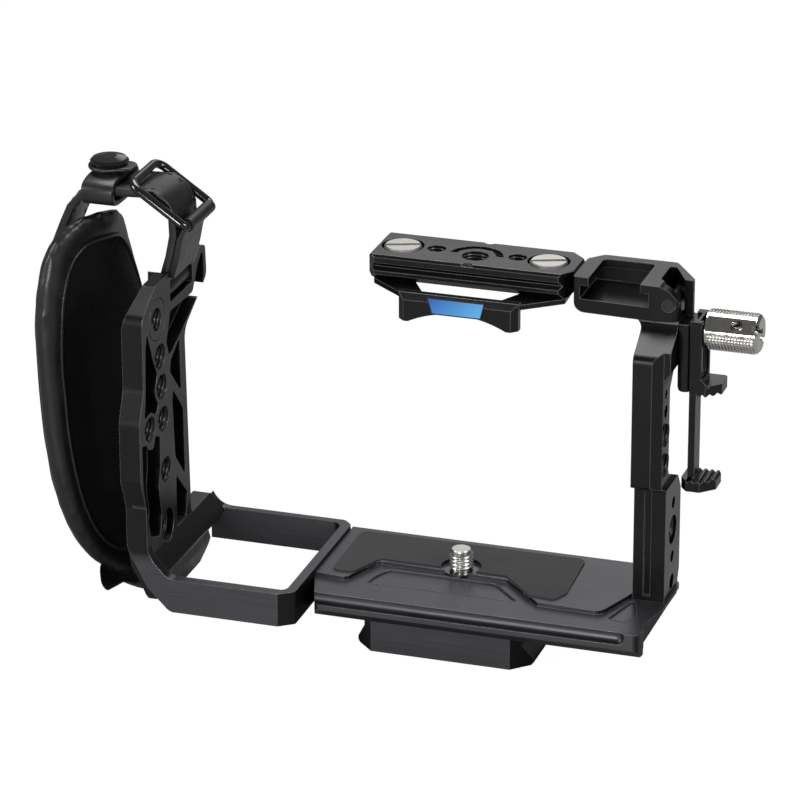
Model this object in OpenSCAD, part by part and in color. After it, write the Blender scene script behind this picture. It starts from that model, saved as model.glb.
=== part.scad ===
// Camera cage with a hand strap, a cable clamp and a quick release plate.
// The origin is on the camera screw's axis, at the seat that carries the camera.
// +X runs to the side that faces the cable clamp, +Y to the camera's back, +Z up.

/* [Base plate] */
// Left end of the base plate, measured from the camera screw
base_left = 36.2; // [33:0.1:40]
// Right end of the base plate, measured from the camera screw
base_right = 57; // [54:0.1:62]
// Distance from the camera screw to the front edge
base_front = 25.6; // [23:0.1:30]
// Distance from the camera screw to the back edge
base_back = 16.8; // [14:0.1:20]
// Height of the base plate under the camera seat
base_h = 8.2; // [7:0.1:10]
// Height of the camera seat above the front ledge
seat_step = 1.2; // [0.6:0.1:2]
// Width of the recess in the front edge of the seat
seat_bay_w = 36.5; // [28:0.1:40]
// Radius of the scoop along the front face
scoop_r = 2.6; // [2:0.1:3.2]
// Thickness of the rubber pad
pad_t = 0.9; // [0.7:0.1:1.4]
// Depth of the pocket that holds the rubber pad
pad_pocket = 0.5; // [0.3:0.1:0.6]

/* [Camera screw] */
// Diameter of the camera screw
screw_d = 6.35; // [6.2:0.05:6.5]
// Height of the screw's tip above the seat
screw_tip = 5.5; // [4.5:0.1:6.5]
// Diameter of the screw's head
screw_head_d = 13; // [11:0.1:14]
// Height of the screw's head
screw_head_h = 3.4; // [2.5:0.1:4.5]

/* [Quick release plate] */
// Height of the quick release plate
plate_h = 10.8; // [9:0.1:12]
// Width of the plate across its dovetail lips
plate_w = 49; // [46:0.1:52]
// Depth of the plate from front to back
plate_d = 38; // [36:0.1:40]
// Corner chamfer of the plate
plate_chamfer = 5.2; // [3:0.1:7]
// Height of the dovetail lip
lip_h = 1.6; // [1.2:0.1:2.5]
// How far the flank is cut back under the base plate
flank_cut = 2.6; // [1.5:0.1:4]

/* [Battery frame] */
// Depth of the battery frame in front of the camera screw
frame_front = 34; // [31:0.1:38]
// Distance from the camera screw to the back of the battery frame
frame_back = 17.8; // [17:0.1:20]
// Height of the frame's rails above the camera seat
rail_rise = 1.2; // [0.4:0.1:2]
// Wall of the front rail
front_wall = 3; // [2.4:0.1:4]
// Wall of the back rail
back_wall = 2; // [1.8:0.1:3]
// Wall of the rail that meets the base plate
inner_wall = 2.6; // [2.2:0.1:3.5]

/* [Left side plate] */
// Inner face of the left side plate, measured from the camera screw
left_in = 76.5; // [74:0.1:80]
// Thickness of the left side plate
left_t = 5.8; // [5:0.1:7]
// Height of the side plate's front shoulder above the camera seat
left_h = 80; // [78:0.1:83]
// Depth of the lightening pockets
pocket_depth = 3.8; // [2.5:0.1:4.4]
// Diameter of the accessory holes
accessory_d = 6.35; // [5.5:0.05:6.8]
// Diameter of the ring around the top accessory hole
ring_d = 12; // [11:0.1:12.4]
// Diameter of the lowest hole, which holds the hand strap's screw
strap_hole_d = 6.6; // [6.4:0.1:7]

/* [Right side bracket] */
// Inner face of the right upright, measured from the camera screw
right_in = 48.3; // [46:0.1:50]
// Front face of the upright's foot
foot_front = 3.5; // [2.5:0.1:5]
// Back face of the upright's foot
foot_back = 11.5; // [10:0.1:13]
// Front face of the upright's thick middle
boss_front = 7.5; // [6.5:0.1:9]
// Back face of the upright's thick middle
boss_back = 1.9; // [1.8:0.1:3]
// Right side of the upright's thick middle
boss_right = 56; // [55:0.1:57]
// Corner chamfer of the upright's thick middle
boss_chamfer = 2.5; // [1:0.1:3.4]
// Lower end of the thick middle, above the seat
boss_low = 32.4; // [28:0.1:36]
// Upper end of the thick middle, above the seat
boss_high = 68.5; // [66:0.1:70]
// Height of the cage's top face above the seat
top_z = 86; // [84.5:0.1:88]
// Height of the cold shoe block
block_h = 9.7; // [9.5:0.1:11]
// Left end of the cold shoe block
block_left = 29.7; // [29.3:0.1:30.5]
// Front face of the cold shoe block
block_front = 1.2; // [0.8:0.1:2]
// Back face of the cold shoe block
block_back = 19.2; // [18.5:0.1:20]
// Width of the cold shoe's slot
shoe_w = 18.6; // [18.4:0.05:18.8]
// Height of the cold shoe's slot
shoe_slot_h = 2.3; // [2:0.05:2.5]
// Gap between the cold shoe's rails
shoe_gap = 14; // [12.5:0.1:15]
// Depth of the cold shoe's floor below the top face
shoe_floor = 6; // [5:0.1:6.5]
// Diameter of the pin for a neck strap
neck_pin_d = 3.2; // [2.5:0.1:3.6]

/* [Top plate] */
// Length of the top plate
top_len = 55.6; // [53:0.1:56]
// Depth of the top plate
top_d = 18.4; // [17:0.1:19.5]
// Height of the top plate
top_h = 7; // [6:0.1:7.6]
// Clearance between the top plate and the cold shoe block
top_gap = 0.4; // [0.2:0.05:0.8]
// Corner chamfer of the top plate
top_chamfer = 5; // [3:0.1:6]
// Distance between the two slotted screws
coin_pitch = 40; // [38:0.1:42]
// Wall between the right slotted screw and the tenon beside it
coin_wall = 1.2; // [1:0.1:2.4]
// Diameter of the slotted screws' heads
coin_d = 10; // [9:0.1:10.6]
// Diameter of the slotted screws' shanks
coin_shank_d = 5; // [4:0.1:5.4]
// Distance between the two small threaded holes
small_pitch = 22.2; // [20:0.1:24]
// Diameter of the small threaded holes
small_d = 5; // [4:0.1:5.4]
// Diameter of the middle hole
middle_d = 7.2; // [6.8:0.1:7.6]

/* [Lens bracket] */
// Length of the lens bracket's front bar
bar_len = 32.6; // [31:0.1:36]
// Height of the front bar at its feet
bar_h = 7.4; // [6.8:0.1:8.5]
// Thickness of the front bar
bar_t = 3.6; // [3:0.1:4.5]
// Distance from the camera screw to the front of the bar
bar_front = 8.2; // [7.5:0.1:9]
// Radius of the arch that clears the lens mount
arch_r = 29.3; // [27:0.1:33]
// Thickness of the wings under the top plate
wing_t = 1.4; // [1.2:0.1:2]

/* [Cable clamp] */
// Right face of the upright where the clamp's guide is screwed on
clamp_seat_x = 57.8; // [57.4:0.1:58.4]
// Distance from the camera screw back to the middle of the clamp
clamp_y = 5.8; // [5.4:0.1:6.4]
// Height of the clamp's stud above the seat
knob_z = 73.9; // [73:0.1:74.4]
// Diameter of the knurled knob
knob_d = 10.4; // [9:0.1:11]
// Length of the knurled knob
knob_len = 14.4; // [12:0.1:18]
// Diameter of the clamp's stud
stud_d = 3; // [2.6:0.1:3.2]
// Width of the jaws
jaw_w = 9.6; // [8.6:0.1:10.4]
// Height of the upper jaw's lower face above the seat
jaw_low = 56.6; // [55.5:0.1:58]
// Height of the upper jaw
jaw_h = 20.6; // [20:0.1:21.4]
// Reach of the jaws' feet
jaw_reach = 8; // [7:0.1:10]
// Height of the jaws' feet
foot_h = 3; // [2.4:0.1:4]
// Gap between the two feet with the clamp open
clamp_gap = 24; // [18:0.1:25]
// Travel of the lower jaw
jaw_travel = 15.5; // [12:0.1:16]

/* [Hand strap] */
// Length of the hand pad, measured straight from end to end
pad_len = 101; // [94:0.5:104]
// Width of the hand pad
pad_w = 49; // [44:0.5:52]
// Thickness of the hand pad at its crown
pad_crown = 12; // [9:0.5:13]
// Width of the strap
strap_w = 16; // [14:0.1:16.4]
// Thickness of the strap
strap_t = 2.2; // [1.8:0.1:2.4]
// Diameter of the buckle's wire
wire_d = 2.4; // [2:0.1:2.8]

/* [Hidden] */
$fn = 48;

eps = 0.01;
// Clearance of a part that turns or slides in another
run = 0.05;
// Clearance between a fixed part and its seat
seat = 0.05;

black = [0.07, 0.07, 0.08];
rubber = [0.12, 0.12, 0.12];
steel = [0.78, 0.78, 0.76];
blue = [0.16, 0.42, 0.78];
leather = [0.10, 0.10, 0.10];

ledge_z = -seat_step;
release_top = -base_h;
release_bottom = release_top - plate_h;

// ---- Small geometry helpers -------------------------------------------------

function unit(v) = v / norm(v);

// One corner of an outline, rounded by an arc of radius r, or of less where the sides are short
function corner_arc(a, b, c, r, steps) =
    let(
        u = unit(a - b),
        v = unit(c - b),
        half = acos(max(-1, min(1, u * v))) / 2,
        fit = min(r, 0.49 * min(norm(a - b), norm(c - b)) * tan(half)),
        middle = b + unit(u + v) * (fit / sin(half)),
        first = b + u * (fit / tan(half)) - middle,
        last = b + v * (fit / tan(half)) - middle,
        start = atan2(first[1], first[0]),
        turn = (atan2(last[1], last[0]) - start + 540) % 360 - 180
    )
    [for (i = [0:steps]) middle + fit * [cos(start + turn * i / steps), sin(start + turn * i / steps)]];

// An outline given as [x, y, corner radius]
function rounded(points, steps = 5) =
    let(n = len(points))
    [
        for (i = [0:n - 1])
            let(
                a = points[(i + n - 1) % n],
                b = points[i],
                c = points[(i + 1) % n]
            )
            each (b[2] > 0
                ? corner_arc([a[0], a[1]], [b[0], b[1]], [c[0], c[1]], b[2], steps)
                : [[b[0], b[1]]])
    ];

// A prism whose outline lies in the XY plane
module plate_xy(points, low, high) {
    translate([0, 0, low]) linear_extrude(high - low) polygon(points);
}

// A prism whose outline is given as (x, z), running along Y
module plate_xz(points, front, back) {
    translate([0, back, 0]) rotate([90, 0, 0]) linear_extrude(back - front) polygon(points);
}

// A prism whose outline is given as (y, z), running along X
module plate_yz(points, left, right) {
    translate([left, 0, 0]) rotate([90, 0, 90]) linear_extrude(right - left) polygon(points);
}

module box(low, high) {
    translate(low) cube(high - low);
}

module rod_x(y, z, d, left, right) {
    translate([left, y, z]) rotate([0, 90, 0]) cylinder(d = d, h = right - left);
}

module rod_y(x, z, d, front, back) {
    translate([x, back, z]) rotate([90, 0, 0]) cylinder(d = d, h = back - front);
}

module rod_z(x, y, d, low, high) {
    translate([x, y, low]) cylinder(d = d, h = high - low);
}

// A screw with a flat countersunk head that points down, tip up
module countersunk_up(x, y, d, head_d, low, high) {
    head = (head_d - d) / 2;
    translate([x, y, low]) rotate_extrude()
        polygon([[0, 0], [head_d / 2, 0], [d / 2, head], [d / 2, high - low], [0, high - low]]);
}

// The cavity for such a screw, from the same sizes and a clearance
module countersink_up(x, y, d, head_d, low, high) {
    head = (head_d - d) / 2;
    grow = seat;
    translate([x, y, low]) rotate_extrude()
        polygon([[0, -1], [head_d / 2 + grow, -1], [head_d / 2 + grow, 0], [d / 2 + grow, head],
                 [d / 2 + grow, high - low + grow], [0, high - low + grow]]);
}

// ---- Base plate -------------------------------------------------------------

bay_left = -22.6;
bay_right = bay_left + seat_bay_w;
bay_depth = 3.2;
seat_front = 15.4;
left_horn = bay_left - 4.7;
right_horn = bay_right + 11.8;

ledge_outline = rounded([
    [-base_left, base_back, 0], [-base_left, -seat_front, 0],
    [-base_left + 3.4, -base_front, 1.5], [base_right - 1.4, -base_front, 2],
    [base_right - 0.8, -base_front + 4.4, 1.5], [base_right - 1.8, -base_front + 7.4, 2],
    [base_right + 0.7, -base_front + 18.4, 2], [base_right + 1, foot_back - 6, 1],
    [base_right + 0.4, foot_back - 1, 0], [base_right - 3.6, base_back, 0]
]);

seat_outline = rounded([
    [-base_left, base_back, 0], [-base_left, -seat_front + 0.6, 0],
    [left_horn, -seat_front, 2], [bay_left, -bay_depth + 0.6, 2],
    [bay_right, -bay_depth - 0.6, 1.5], [right_horn, -seat_front, 1.5],
    [right_in - 5.2, -seat_front - 0.6, 3], [right_in, -1.4, 2.5], [right_in, base_back, 0]
]);

rubber_outline = rounded([
    [-base_left + 3.6, base_back - 2.6, 2.5], [-base_left + 3.8, -seat_front + 3, 2],
    [left_horn + 0.8, -seat_front + 3.2, 2], [bay_left + 0.6, -bay_depth + 1.4, 2],
    [bay_right - 0.6, -bay_depth + 0.8, 1.5], [right_horn - 3.2, -seat_front + 3, 1.5],
    [right_horn + 4, -seat_front + 2.2, 2], [right_horn + 6, -seat_front + 7, 2],
    [right_horn + 5, base_back - 2.6, 2.5]
]);

ledge_panel = rounded([
    [-21.8, -15, 0.8], [-21, -10, 2], [-18.6, -4.8, 1.5], [11, -4.8, 2.5], [20, -14.4, 0.8]
]);

ledge_corner = rounded([
    [45.2, -17.4, 0.8], [48.8, -3.2, 0.6], [50.6, -7.4, 3], [52.4, -13.4, 2], [50.8, -18.2, 1.5]
]);

panel_deep = 0.4;
clip_d = 9.4;
clip_h = 0.8;
clip_z = -1.3;
screw_head_z = release_top - 3.6;
release_screws = [[-15, -12], [15, -12], [-15, 12], [15, 12]];
release_screw_d = 4;
release_screw_head = 7.6;
release_screw_top = -2.6;
bracket_screw_y = [-9, 2, 12];
bracket_screw_z = -4.2;
bracket_screw_d = 3;
bracket_screw_head = 5.4;
bracket_screw_len = 11;
upright_screw_y = [-0.2, 8];
upright_screw_x = 51.4;
upright_screw_d = 3;
upright_screw_head = 5.4;
upright_screw_len = 14;

module base_plate() {
    color(black) difference() {
        union() {
            plate_xy(ledge_outline, -base_h, ledge_z);
            plate_xy(seat_outline, ledge_z - eps, 0);
        }
        plate_xy(ledge_panel, ledge_z - panel_deep, 1);
        plate_xy(ledge_corner, ledge_z - panel_deep, 1);
        plate_xy(rubber_outline, -pad_pocket, 1);
        base_front_scoop();
        base_front_chamfer();
        rod_z(0, 0, screw_d + 2 * run, -base_h - 1, 1);
        rod_z(0, 0, clip_d + 2 * seat, clip_z, 1);
        for (at = release_screws) {
            rod_z(at[0], at[1], release_screw_d + 2 * seat, -base_h - 1, release_screw_top);
        }
        for (y = bracket_screw_y) {
            rod_x(y, bracket_screw_z, bracket_screw_d + 2 * seat,
                  -base_left - 1, -base_left + bracket_screw_len);
        }
        for (y = upright_screw_y) {
            countersink_up(upright_screw_x, y, upright_screw_d, upright_screw_head,
                           -base_h, -base_h + upright_screw_len);
        }
        base_weight_slots();
        base_end_undercut();
    }
}

// The underside slopes in below the upright
module base_end_undercut() {
    plate_xz([[base_right + 3, ledge_z - 0.8], [base_right + 0.8, ledge_z - 0.8],
              [base_right - 2.6, -base_h], [base_right - 2.6, -base_h - 1], [base_right + 3, -base_h - 1]],
             -base_front + 8, base_back + 1);
}

// The scoop along the front face, with a round end at the right
module base_front_scoop() {
    scoop_y = -base_front - 1.4;
    scoop_z = ledge_z - 1;
    scoop_end = base_right - 7;
    rod_x(scoop_y, scoop_z, 2 * scoop_r, -base_left - 1, scoop_end);
    translate([scoop_end, scoop_y, scoop_z]) sphere(scoop_r);
}

module base_front_chamfer() {
    cut = 2.4;
    plate_yz([[-base_front - 1, -base_h - 1], [-base_front - 1, -base_h + cut + 1],
              [-base_front, -base_h + cut], [-base_front + cut, -base_h],
              [-base_front + cut, -base_h - 1]],
             -base_left - 1, base_right + 1);
}

// Two long slots under the plate, which save weight
module base_weight_slots() {
    for (x = [-30.6, 36]) {
        box([x - 2, -10, -base_h - 1], [x + 3, 10, -base_h + 2]);
    }
}

module base_rubber_pad() {
    color(rubber) difference() {
        translate([0, 0, -pad_pocket]) linear_extrude(pad_t) polygon(rubber_outline);
        rod_z(0, 0, clip_d + 1.4, -2, 2);
    }
}

// ---- Camera screw -----------------------------------------------------------

module camera_screw() {
    tip_cone = 0.7;
    slot_w = 1.6;
    slot_deep = 1.6;
    shoulder_z = screw_head_z;
    head_low = shoulder_z - screw_head_h;
    color(steel) difference() {
        rotate_extrude() polygon([
            [0, head_low], [screw_head_d / 2 - 0.4, head_low], [screw_head_d / 2, head_low + 0.4],
            [screw_head_d / 2, shoulder_z - run], [screw_d / 2, shoulder_z - run],
            [screw_d / 2, clip_z], [screw_d / 2 - 0.6, clip_z + 0.01],
            [screw_d / 2 - 0.6, clip_z + clip_h - 0.01], [screw_d / 2, clip_z + clip_h],
            [screw_d / 2, screw_tip - tip_cone], [screw_d / 2 - tip_cone, screw_tip],
            [0, screw_tip]
        ]);
        box([-screw_head_d, -slot_w / 2, head_low - 1], [screw_head_d, slot_w / 2, head_low + slot_deep]);
    }
}

// The spring clip that keeps the screw in the plate when it is undone
module camera_screw_clip() {
    color(black) difference() {
        rod_z(0, 0, clip_d, clip_z + run, clip_z + clip_h - run);
        rod_z(0, 0, screw_d - 1.2 + 4 * run, clip_z - 1, clip_z + clip_h + 1);
        translate([0, -clip_d, clip_z - 1]) cube([1.6, clip_d * 2, 4], center = true);
    }
}

// ---- Quick release plate ----------------------------------------------------

module quick_release_plate() {
    half_w = plate_w / 2;
    half_d = plate_d / 2;
    edge = 0.6;
    plan = [
        [-half_w, -half_d + plate_chamfer], [-half_w + plate_chamfer, -half_d],
        [half_w - plate_chamfer, -half_d], [half_w, -half_d + plate_chamfer],
        [half_w, half_d - plate_chamfer], [half_w - plate_chamfer, half_d],
        [-half_w + plate_chamfer, half_d], [-half_w, half_d - plate_chamfer]
    ];
    flank = [
        [-half_w + edge, release_bottom], [half_w - edge, release_bottom],
        [half_w, release_bottom + edge], [half_w, release_bottom + lip_h],
        [half_w - flank_cut, release_bottom + lip_h + 4.6], [half_w - flank_cut, release_top],
        [-half_w + flank_cut, release_top], [-half_w + flank_cut, release_bottom + lip_h + 4.6],
        [-half_w, release_bottom + lip_h], [-half_w, release_bottom + edge]
    ];
    color(black) difference() {
        intersection() {
            plate_xy(plan, release_bottom, release_top);
            plate_xz(flank, -half_d - 1, half_d + 1);
        }
        rod_z(0, 0, screw_d + 2 * run, release_bottom - 1, release_top + 1);
        rod_z(0, 0, screw_head_d + 1.6, release_bottom - 1, screw_head_z);
        for (at = release_screws) {
            countersink_up(at[0], at[1], release_screw_d, release_screw_head,
                           release_bottom, release_top + 5);
        }
    }
}

module release_plate_screws() {
    color(steel) for (at = release_screws) {
        countersunk_up(at[0], at[1], release_screw_d, release_screw_head,
                       release_bottom, release_screw_top - 0.4);
    }
}

// ---- Left bracket: battery frame and side plate in one piece ----------------

left_out = left_in + left_t;
frame_right = base_left;
rail_top = rail_rise;
rail_bottom = -base_h;
corner_cut = 4;

// The side plate seen from the camera, as (y, z)
side_outline = rounded([
    [-frame_front, rail_bottom, 0], [-frame_front, 21, 3], [-frame_front - 3.4, 29, 5],
    [-frame_front - 3.4, 46, 5], [-frame_front, 54, 4], [-frame_front, left_h - 6, 3],
    [-23.8, left_h, 2], [-14, left_h + 0.2, 0.8], [-12.8, 76.5, 0], [5, 76.5, 0],
    [9.6, 79.4, 1], [13.6, 78.6, 1.6], [14.4, 69.8, 3],
    [-3.2, 60.4, 5], [-0.8, 6.2, 1.5], [13.6, 6.2, 1.5], [frame_back, rail_top, 4],
    [frame_back, rail_bottom, 0]
]);

// The low wall behind the upright, thin at its foot
sill_outline = rounded([
    [-left_out, 9.2, 0], [-left_out, 8.6, 6], [-77.6, -1.4, 3], [-74.6, -2.2, 0.8],
    [-72.9, rail_top - 0.6, 0.8],
    [-73.4, rail_top, 0.6], [-left_in, 6.3, 0]
]);

holes = [[-21.4, 59.3], [-20.7, 50.5], [-20.1, 41.1], [-29.9, 41.8], [-19, 26.1]];
top_hole = [-23.1, 70.4];
strap_hole = [-18.5, 10];

pockets = [
    rounded([[-32, 65, 1], [-30.5, 69.4, 0.4], [-26.2, 59.6, 1], [-23.6, 55.2, 1],
             [-26, 50.5, 3], [-23.4, 46.4, 0.8], [-25.3, 44.2, 0.8], [-29, 46.4, 2],
             [-33.9, 45.6, 1], [-32.6, 52, 3]]),
    rounded([[-36, 39.4, 0.6], [-32.6, 38.4, 0.6], [-31.4, 36.6, 2], [-27.6, 35.4, 1.5],
             [-26.4, 38.6, 0.6], [-22.8, 37.2, 0.8], [-23, 28, 3], [-24.4, 22.7, 4],
             [-22.6, 15, 2], [-24, 9, 1], [-31, 11.4, 2], [-33.2, 18, 3], [-35.8, 27.6, 4]]),
    rounded([[-7, 59.6, 0.5], [-13.8, 55.6, 1], [-14.6, 52.4, 1.5], [-6.4, 43.6, 0.5]]),
    rounded([[-12.6, 46.8, 0.5], [-5.2, 38.4, 1], [-4.7, 18.8, 0.5], [-12, 27.2, 2],
             [-13.3, 43.6, 2]]),
    rounded([[-11.6, 21.6, 0.5], [-3.4, 13.4, 1], [-4.6, 6.6, 1], [-12, 6.6, 1]])
];

// The large recess behind the top hole, up into the rear ear
ear_recess = rounded([
    [10.4, 77.4, 0.6], [12.2, 76.4, 0.6], [12.6, 70.4, 1.5], [11.4, 67.8, 2], [-5, 60.6, 2],
    [-14.8, 57, 0.8], [-16.8, 61.6, 2], [-14.4, 66.8, 1.5], [-13.6, 69.4, 1], [3.6, 68.6, 2], [7.2, 74.6, 3]
]);

// The slot in the top edge, which the hand strap passes through
slot_front = -13.2;
slot_back = slot_front + strap_w + 0.9;
slot_floor = 71.6;

module left_bracket() {
    skin = -left_in - pocket_depth;
    color(black) difference() {
        union() {
            intersection() {
                plate_yz(side_outline, -left_out, -left_in);
                left_corner_limit();
            }
            plate_xz(flange_outline_low(), -frame_front, -frame_front + front_wall);
            intersection() {
                plate_xz(sill_outline, -frame_front + 1, frame_back);
                plate_yz(side_outline, -left_out - 1, 0);
            }
            battery_frame();
            back_fillet();
        }
        for (outline = pockets) {
            plate_yz(outline, skin, -left_in + 9);
        }
        plate_yz(ear_recess, skin, -left_in + 9);
        left_accessory_holes();
        strap_slot();
        rod_y(anchor_x, anchor_z, anchor_d + 2 * seat, slot_front - 2.1, slot_back + 2.1);
        left_front_bevel();
        for (y = bracket_screw_y) {
            bracket_screw_hole(y);
        }
    }
}

// Keeps the side plate inside the outer curve at its foot
module left_corner_limit() {
    plate_xz(rounded([[-left_out, left_h + 5, 0], [-left_out, 8.8, 8], [-76.8, -2, 5],
                      [-75, -3.6, 0], [-70, 20, 0], [-70, left_h + 5, 0]], 6),
             -frame_front - 10, frame_back + 10);
}

function flange_outline_low() = rounded([
    [-left_out, 21, 0], [-left_out, 8.8, 8], [-76.8, -2, 5], [-70.6, rail_bottom, 3],
    [-60, rail_bottom, 0], [-60, rail_top, 0], [-70.8, rail_top, 4], [-left_in, 7.2, 8],
    [-left_in, 21, 0]
], 6);

// The open frame that the camera's battery passes through
module battery_frame() {
    outer = rounded([
        [-70, -frame_front, 0], [-frame_right - corner_cut, -frame_front, 1],
        [-frame_right, -frame_front + corner_cut * 0.75, 1], [-frame_right, frame_back - 2.5, 1.5],
        [-frame_right - 2.5, frame_back, 1.5], [-77, frame_back, 0], [-77, frame_back - back_wall, 0],
        [-76, frame_back - back_wall, 0], [-70, -20, 0]
    ]);
    inner_left = -80;
    inner = rounded([
        [inner_left, -frame_front + front_wall, 0],
        [-frame_right - corner_cut + 0.6, -frame_front + front_wall, 1.5],
        [-frame_right - inner_wall, -frame_front + front_wall + 1.6, 1.5],
        [-frame_right - inner_wall, frame_back - back_wall - 2, 2],
        [-frame_right - inner_wall - 2, frame_back - back_wall, 2],
        [inner_left, frame_back - back_wall, 0]
    ]);
    difference() {
        plate_xy(outer, rail_bottom, rail_top);
        plate_xy(inner, rail_bottom - 1, rail_top + 1);
    }
}

// The back rail rises to meet the side plate in a hollow curve
module back_fillet() {
    curve_r = 6;
    difference() {
        box([-77, frame_back - back_wall, rail_top - 1], [-72, frame_back, rail_top + 4.4]);
        rod_y(-71.4, rail_top + curve_r, 2 * curve_r, frame_back - back_wall - 1, frame_back + 1);
    }
}

module left_accessory_holes() {
    for (at = holes) {
        rod_x(at[0], at[1], accessory_d, -left_out - 1, -left_in + 1);
        rod_x(at[0], at[1], accessory_d + 1, -left_in - 0.5, -left_in + 1);
    }
    rod_x(top_hole[0], top_hole[1], accessory_d, -left_out - 1, -left_in + 1);
    difference() {
        rod_x(top_hole[0], top_hole[1], ring_d, -left_in - 0.4, -left_in + 1);
        rod_x(top_hole[0], top_hole[1], ring_d - 1, -left_in - 1, -left_in + 1.5);
    }
    rod_x(strap_hole[0], strap_hole[1], strap_hole_d, -left_out - 1, -left_in + 1);
    rod_x(strap_hole[0], strap_hole[1], strap_hole_d + 2.6, -left_in - 2.2, -left_in + 1);
}

module strap_slot() {
    box([-left_out - 1, slot_front, slot_floor], [-left_in + 1, slot_back, left_h + 5]);
}

// The bevel along the front shoulder
module left_front_bevel() {
    plate_xz([[-left_out - 1, left_h - 9], [-left_out, left_h - 9], [-left_out + 2.6, left_h + 1],
              [-left_out - 1, left_h + 1]], -frame_front - 10, slot_front - 1);
}

module bracket_screw_hole(y) {
    start = -frame_right - inner_wall;
    sink = (bracket_screw_head - bracket_screw_d) / 2;
    translate([start, y, bracket_screw_z]) rotate([0, 90, 0]) rotate_extrude()
        polygon([[0, -1], [bracket_screw_head / 2 + seat, -1], [bracket_screw_head / 2 + seat, 0],
                 [bracket_screw_d / 2 + seat, sink], [bracket_screw_d / 2 + seat, inner_wall + 1],
                 [0, inner_wall + 1]]);
}

module left_bracket_screws() {
    start = -frame_right - inner_wall;
    sink = (bracket_screw_head - bracket_screw_d) / 2;
    long = inner_wall + bracket_screw_len - 1;
    color(steel) for (y = bracket_screw_y) {
        translate([start, y, bracket_screw_z]) rotate([0, 90, 0]) rotate_extrude()
            polygon([[0, 0], [bracket_screw_head / 2, 0], [bracket_screw_d / 2, sink],
                     [bracket_screw_d / 2, long], [0, long]]);
    }
}

// ---- Right bracket: upright and cold shoe in one piece ----------------------

bracket_right = max(base_right, clamp_seat_x) + 1;
ear_x = clamp_seat_x + 2.6;
shoe_mid = block_left + 1.8 + shoe_w / 2;
floor_z = top_z - shoe_floor;
block_bottom = top_z - block_h;

// The upright seen from its side, as (y, z)
upright_outline = rounded([
    [-foot_front, ledge_z, 0], [foot_back - 2, ledge_z, 1], [foot_back, 3, 1.5],
    [foot_back, boss_low - 6, 3], [foot_back - 3, boss_low - 1.6, 2], [boss_back, boss_low + 1, 2],
    [boss_back, 57.6, 2], [foot_back - 4.6, boss_high - 5, 3],
    [foot_back + 1.5, block_bottom, 3], [foot_back + 1.5, top_z - 5, 0], [2, top_z - 5, 0],
    [2.4, boss_high + 6, 5], [-boss_front, boss_high, 2.5], [-boss_front, boss_low, 1.2],
    [-foot_front, boss_low - 1.5, 1]
]);

// The bracket seen from the front, as (x, z): the upright turns into the shoe
front_outline = rounded([
    [right_in, ledge_z, 0], [base_right, ledge_z, 0], [base_right, boss_low - 1.4, 0.5],
    [boss_right, boss_low - 0.4, 0.5], [boss_right, 62, 1], [clamp_seat_x, 64.2, 1],
    [clamp_seat_x, top_z, 0], [right_in - 6, top_z, 0],
    [right_in - 6, block_bottom, 0], [right_in - 0.2, block_bottom - 0.1, 5],
    [right_in, boss_high - 1, 4]
], 6);

block_plan = rounded([
    [block_left, block_front, 0.8], [ear_x - 8.2, block_front - 1, 0.8], [ear_x - 2.4, block_front, 2],
    [ear_x - 2.4, 6, 0], [ear_x, 6, 0.5], [ear_x, 8.4, 1], [ear_x - 7.4, block_back, 1.5],
    [block_left + 3.6, block_back, 1.5], [block_left, block_back - 4, 1.5]
]);

strap_bay = rounded([
    [ear_x - 6, block_front + 2.4, 1.5], [ear_x + 9.6, block_front + 4, 0], [ear_x + 9.6, 6.2, 0],
    [ear_x - 2.4, 7.4, 0.6], [ear_x - 7, block_back - 3, 1.2], [ear_x - 8.6, block_back - 3.6, 1],
    [ear_x - 8.6, block_front + 5, 1.5]
]);

// Side view of the front ear's slope, as (x, z)
ear_slope = rounded([
    [ear_x - 8, top_z + 6, 0], [ear_x - 8, top_z, 2], [ear_x - 4.8, top_z - 1.2, 3],
    [ear_x - 2.2, top_z - 5, 2], [ear_x - 2, top_z - 9, 0],
    [ear_x + 5.6, top_z - 9, 0], [ear_x + 5.6, top_z + 6, 0]
]);

tenon_len = 5;
tenon_w = 8;
tenon_h = 2.6;
tenon_z = top_z - 4.1;
top_mid_y = (block_front + block_back) / 2 - 0.3;

side_holes = [[4.2, 24.6, 3.4], [3.9, 17, 8], [3.9, 9.3, 3.4], [3.9, 2, 4.4]];
boss_holes = [[-1.8, 57.4, 2.6], [-1.8, 52.6, 3.6], [-1.8, 45.8, accessory_d], [-1.8, 37.4, accessory_d]];
pin_x = ear_x - 5;
pin_z = top_z - 5.2;

module right_bracket() {
    color(black) difference() {
        union() {
            intersection() {
                plate_yz(upright_outline, right_in - 7, bracket_right);
                plate_xz(front_outline, -boss_front - 1, block_back + 1);
            }
            intersection() {
                plate_xy(block_plan, block_bottom, top_z);
                block_foot_curve();
            }
            shoe_tenon();
        }
        cold_shoe_cut();
        neck_strap_bay();
        boss_corner();
        rod_y(pin_x, pin_z, neck_pin_d + 2 * seat, block_front - 2, block_back - 1.5);
        foot_groove();
        for (hole = side_holes) {
            rod_x(hole[0], hole[1], hole[2], right_in - 1, bracket_right + 1);
        }
        for (hole = boss_holes) {
            rod_x(hole[0], hole[1], hole[2], right_in - 1, bracket_right + 1);
        }
        for (y = upright_screw_y) {
            rod_z(upright_screw_x, y, upright_screw_d + 2 * seat, ledge_z - 1,
                  -base_h + upright_screw_len + seat);
        }
        clamp_screw_holes();
        clamp_flat();
    }
}

// The flat that the clamp's guide is screwed to, which its jaws slide past
module clamp_flat() {
    box([clamp_seat_x, jaw_front - flat_gap, lower_low - flat_gap],
        [bracket_right + base_t, jaw_back + flat_gap, base_high]);
}

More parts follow.
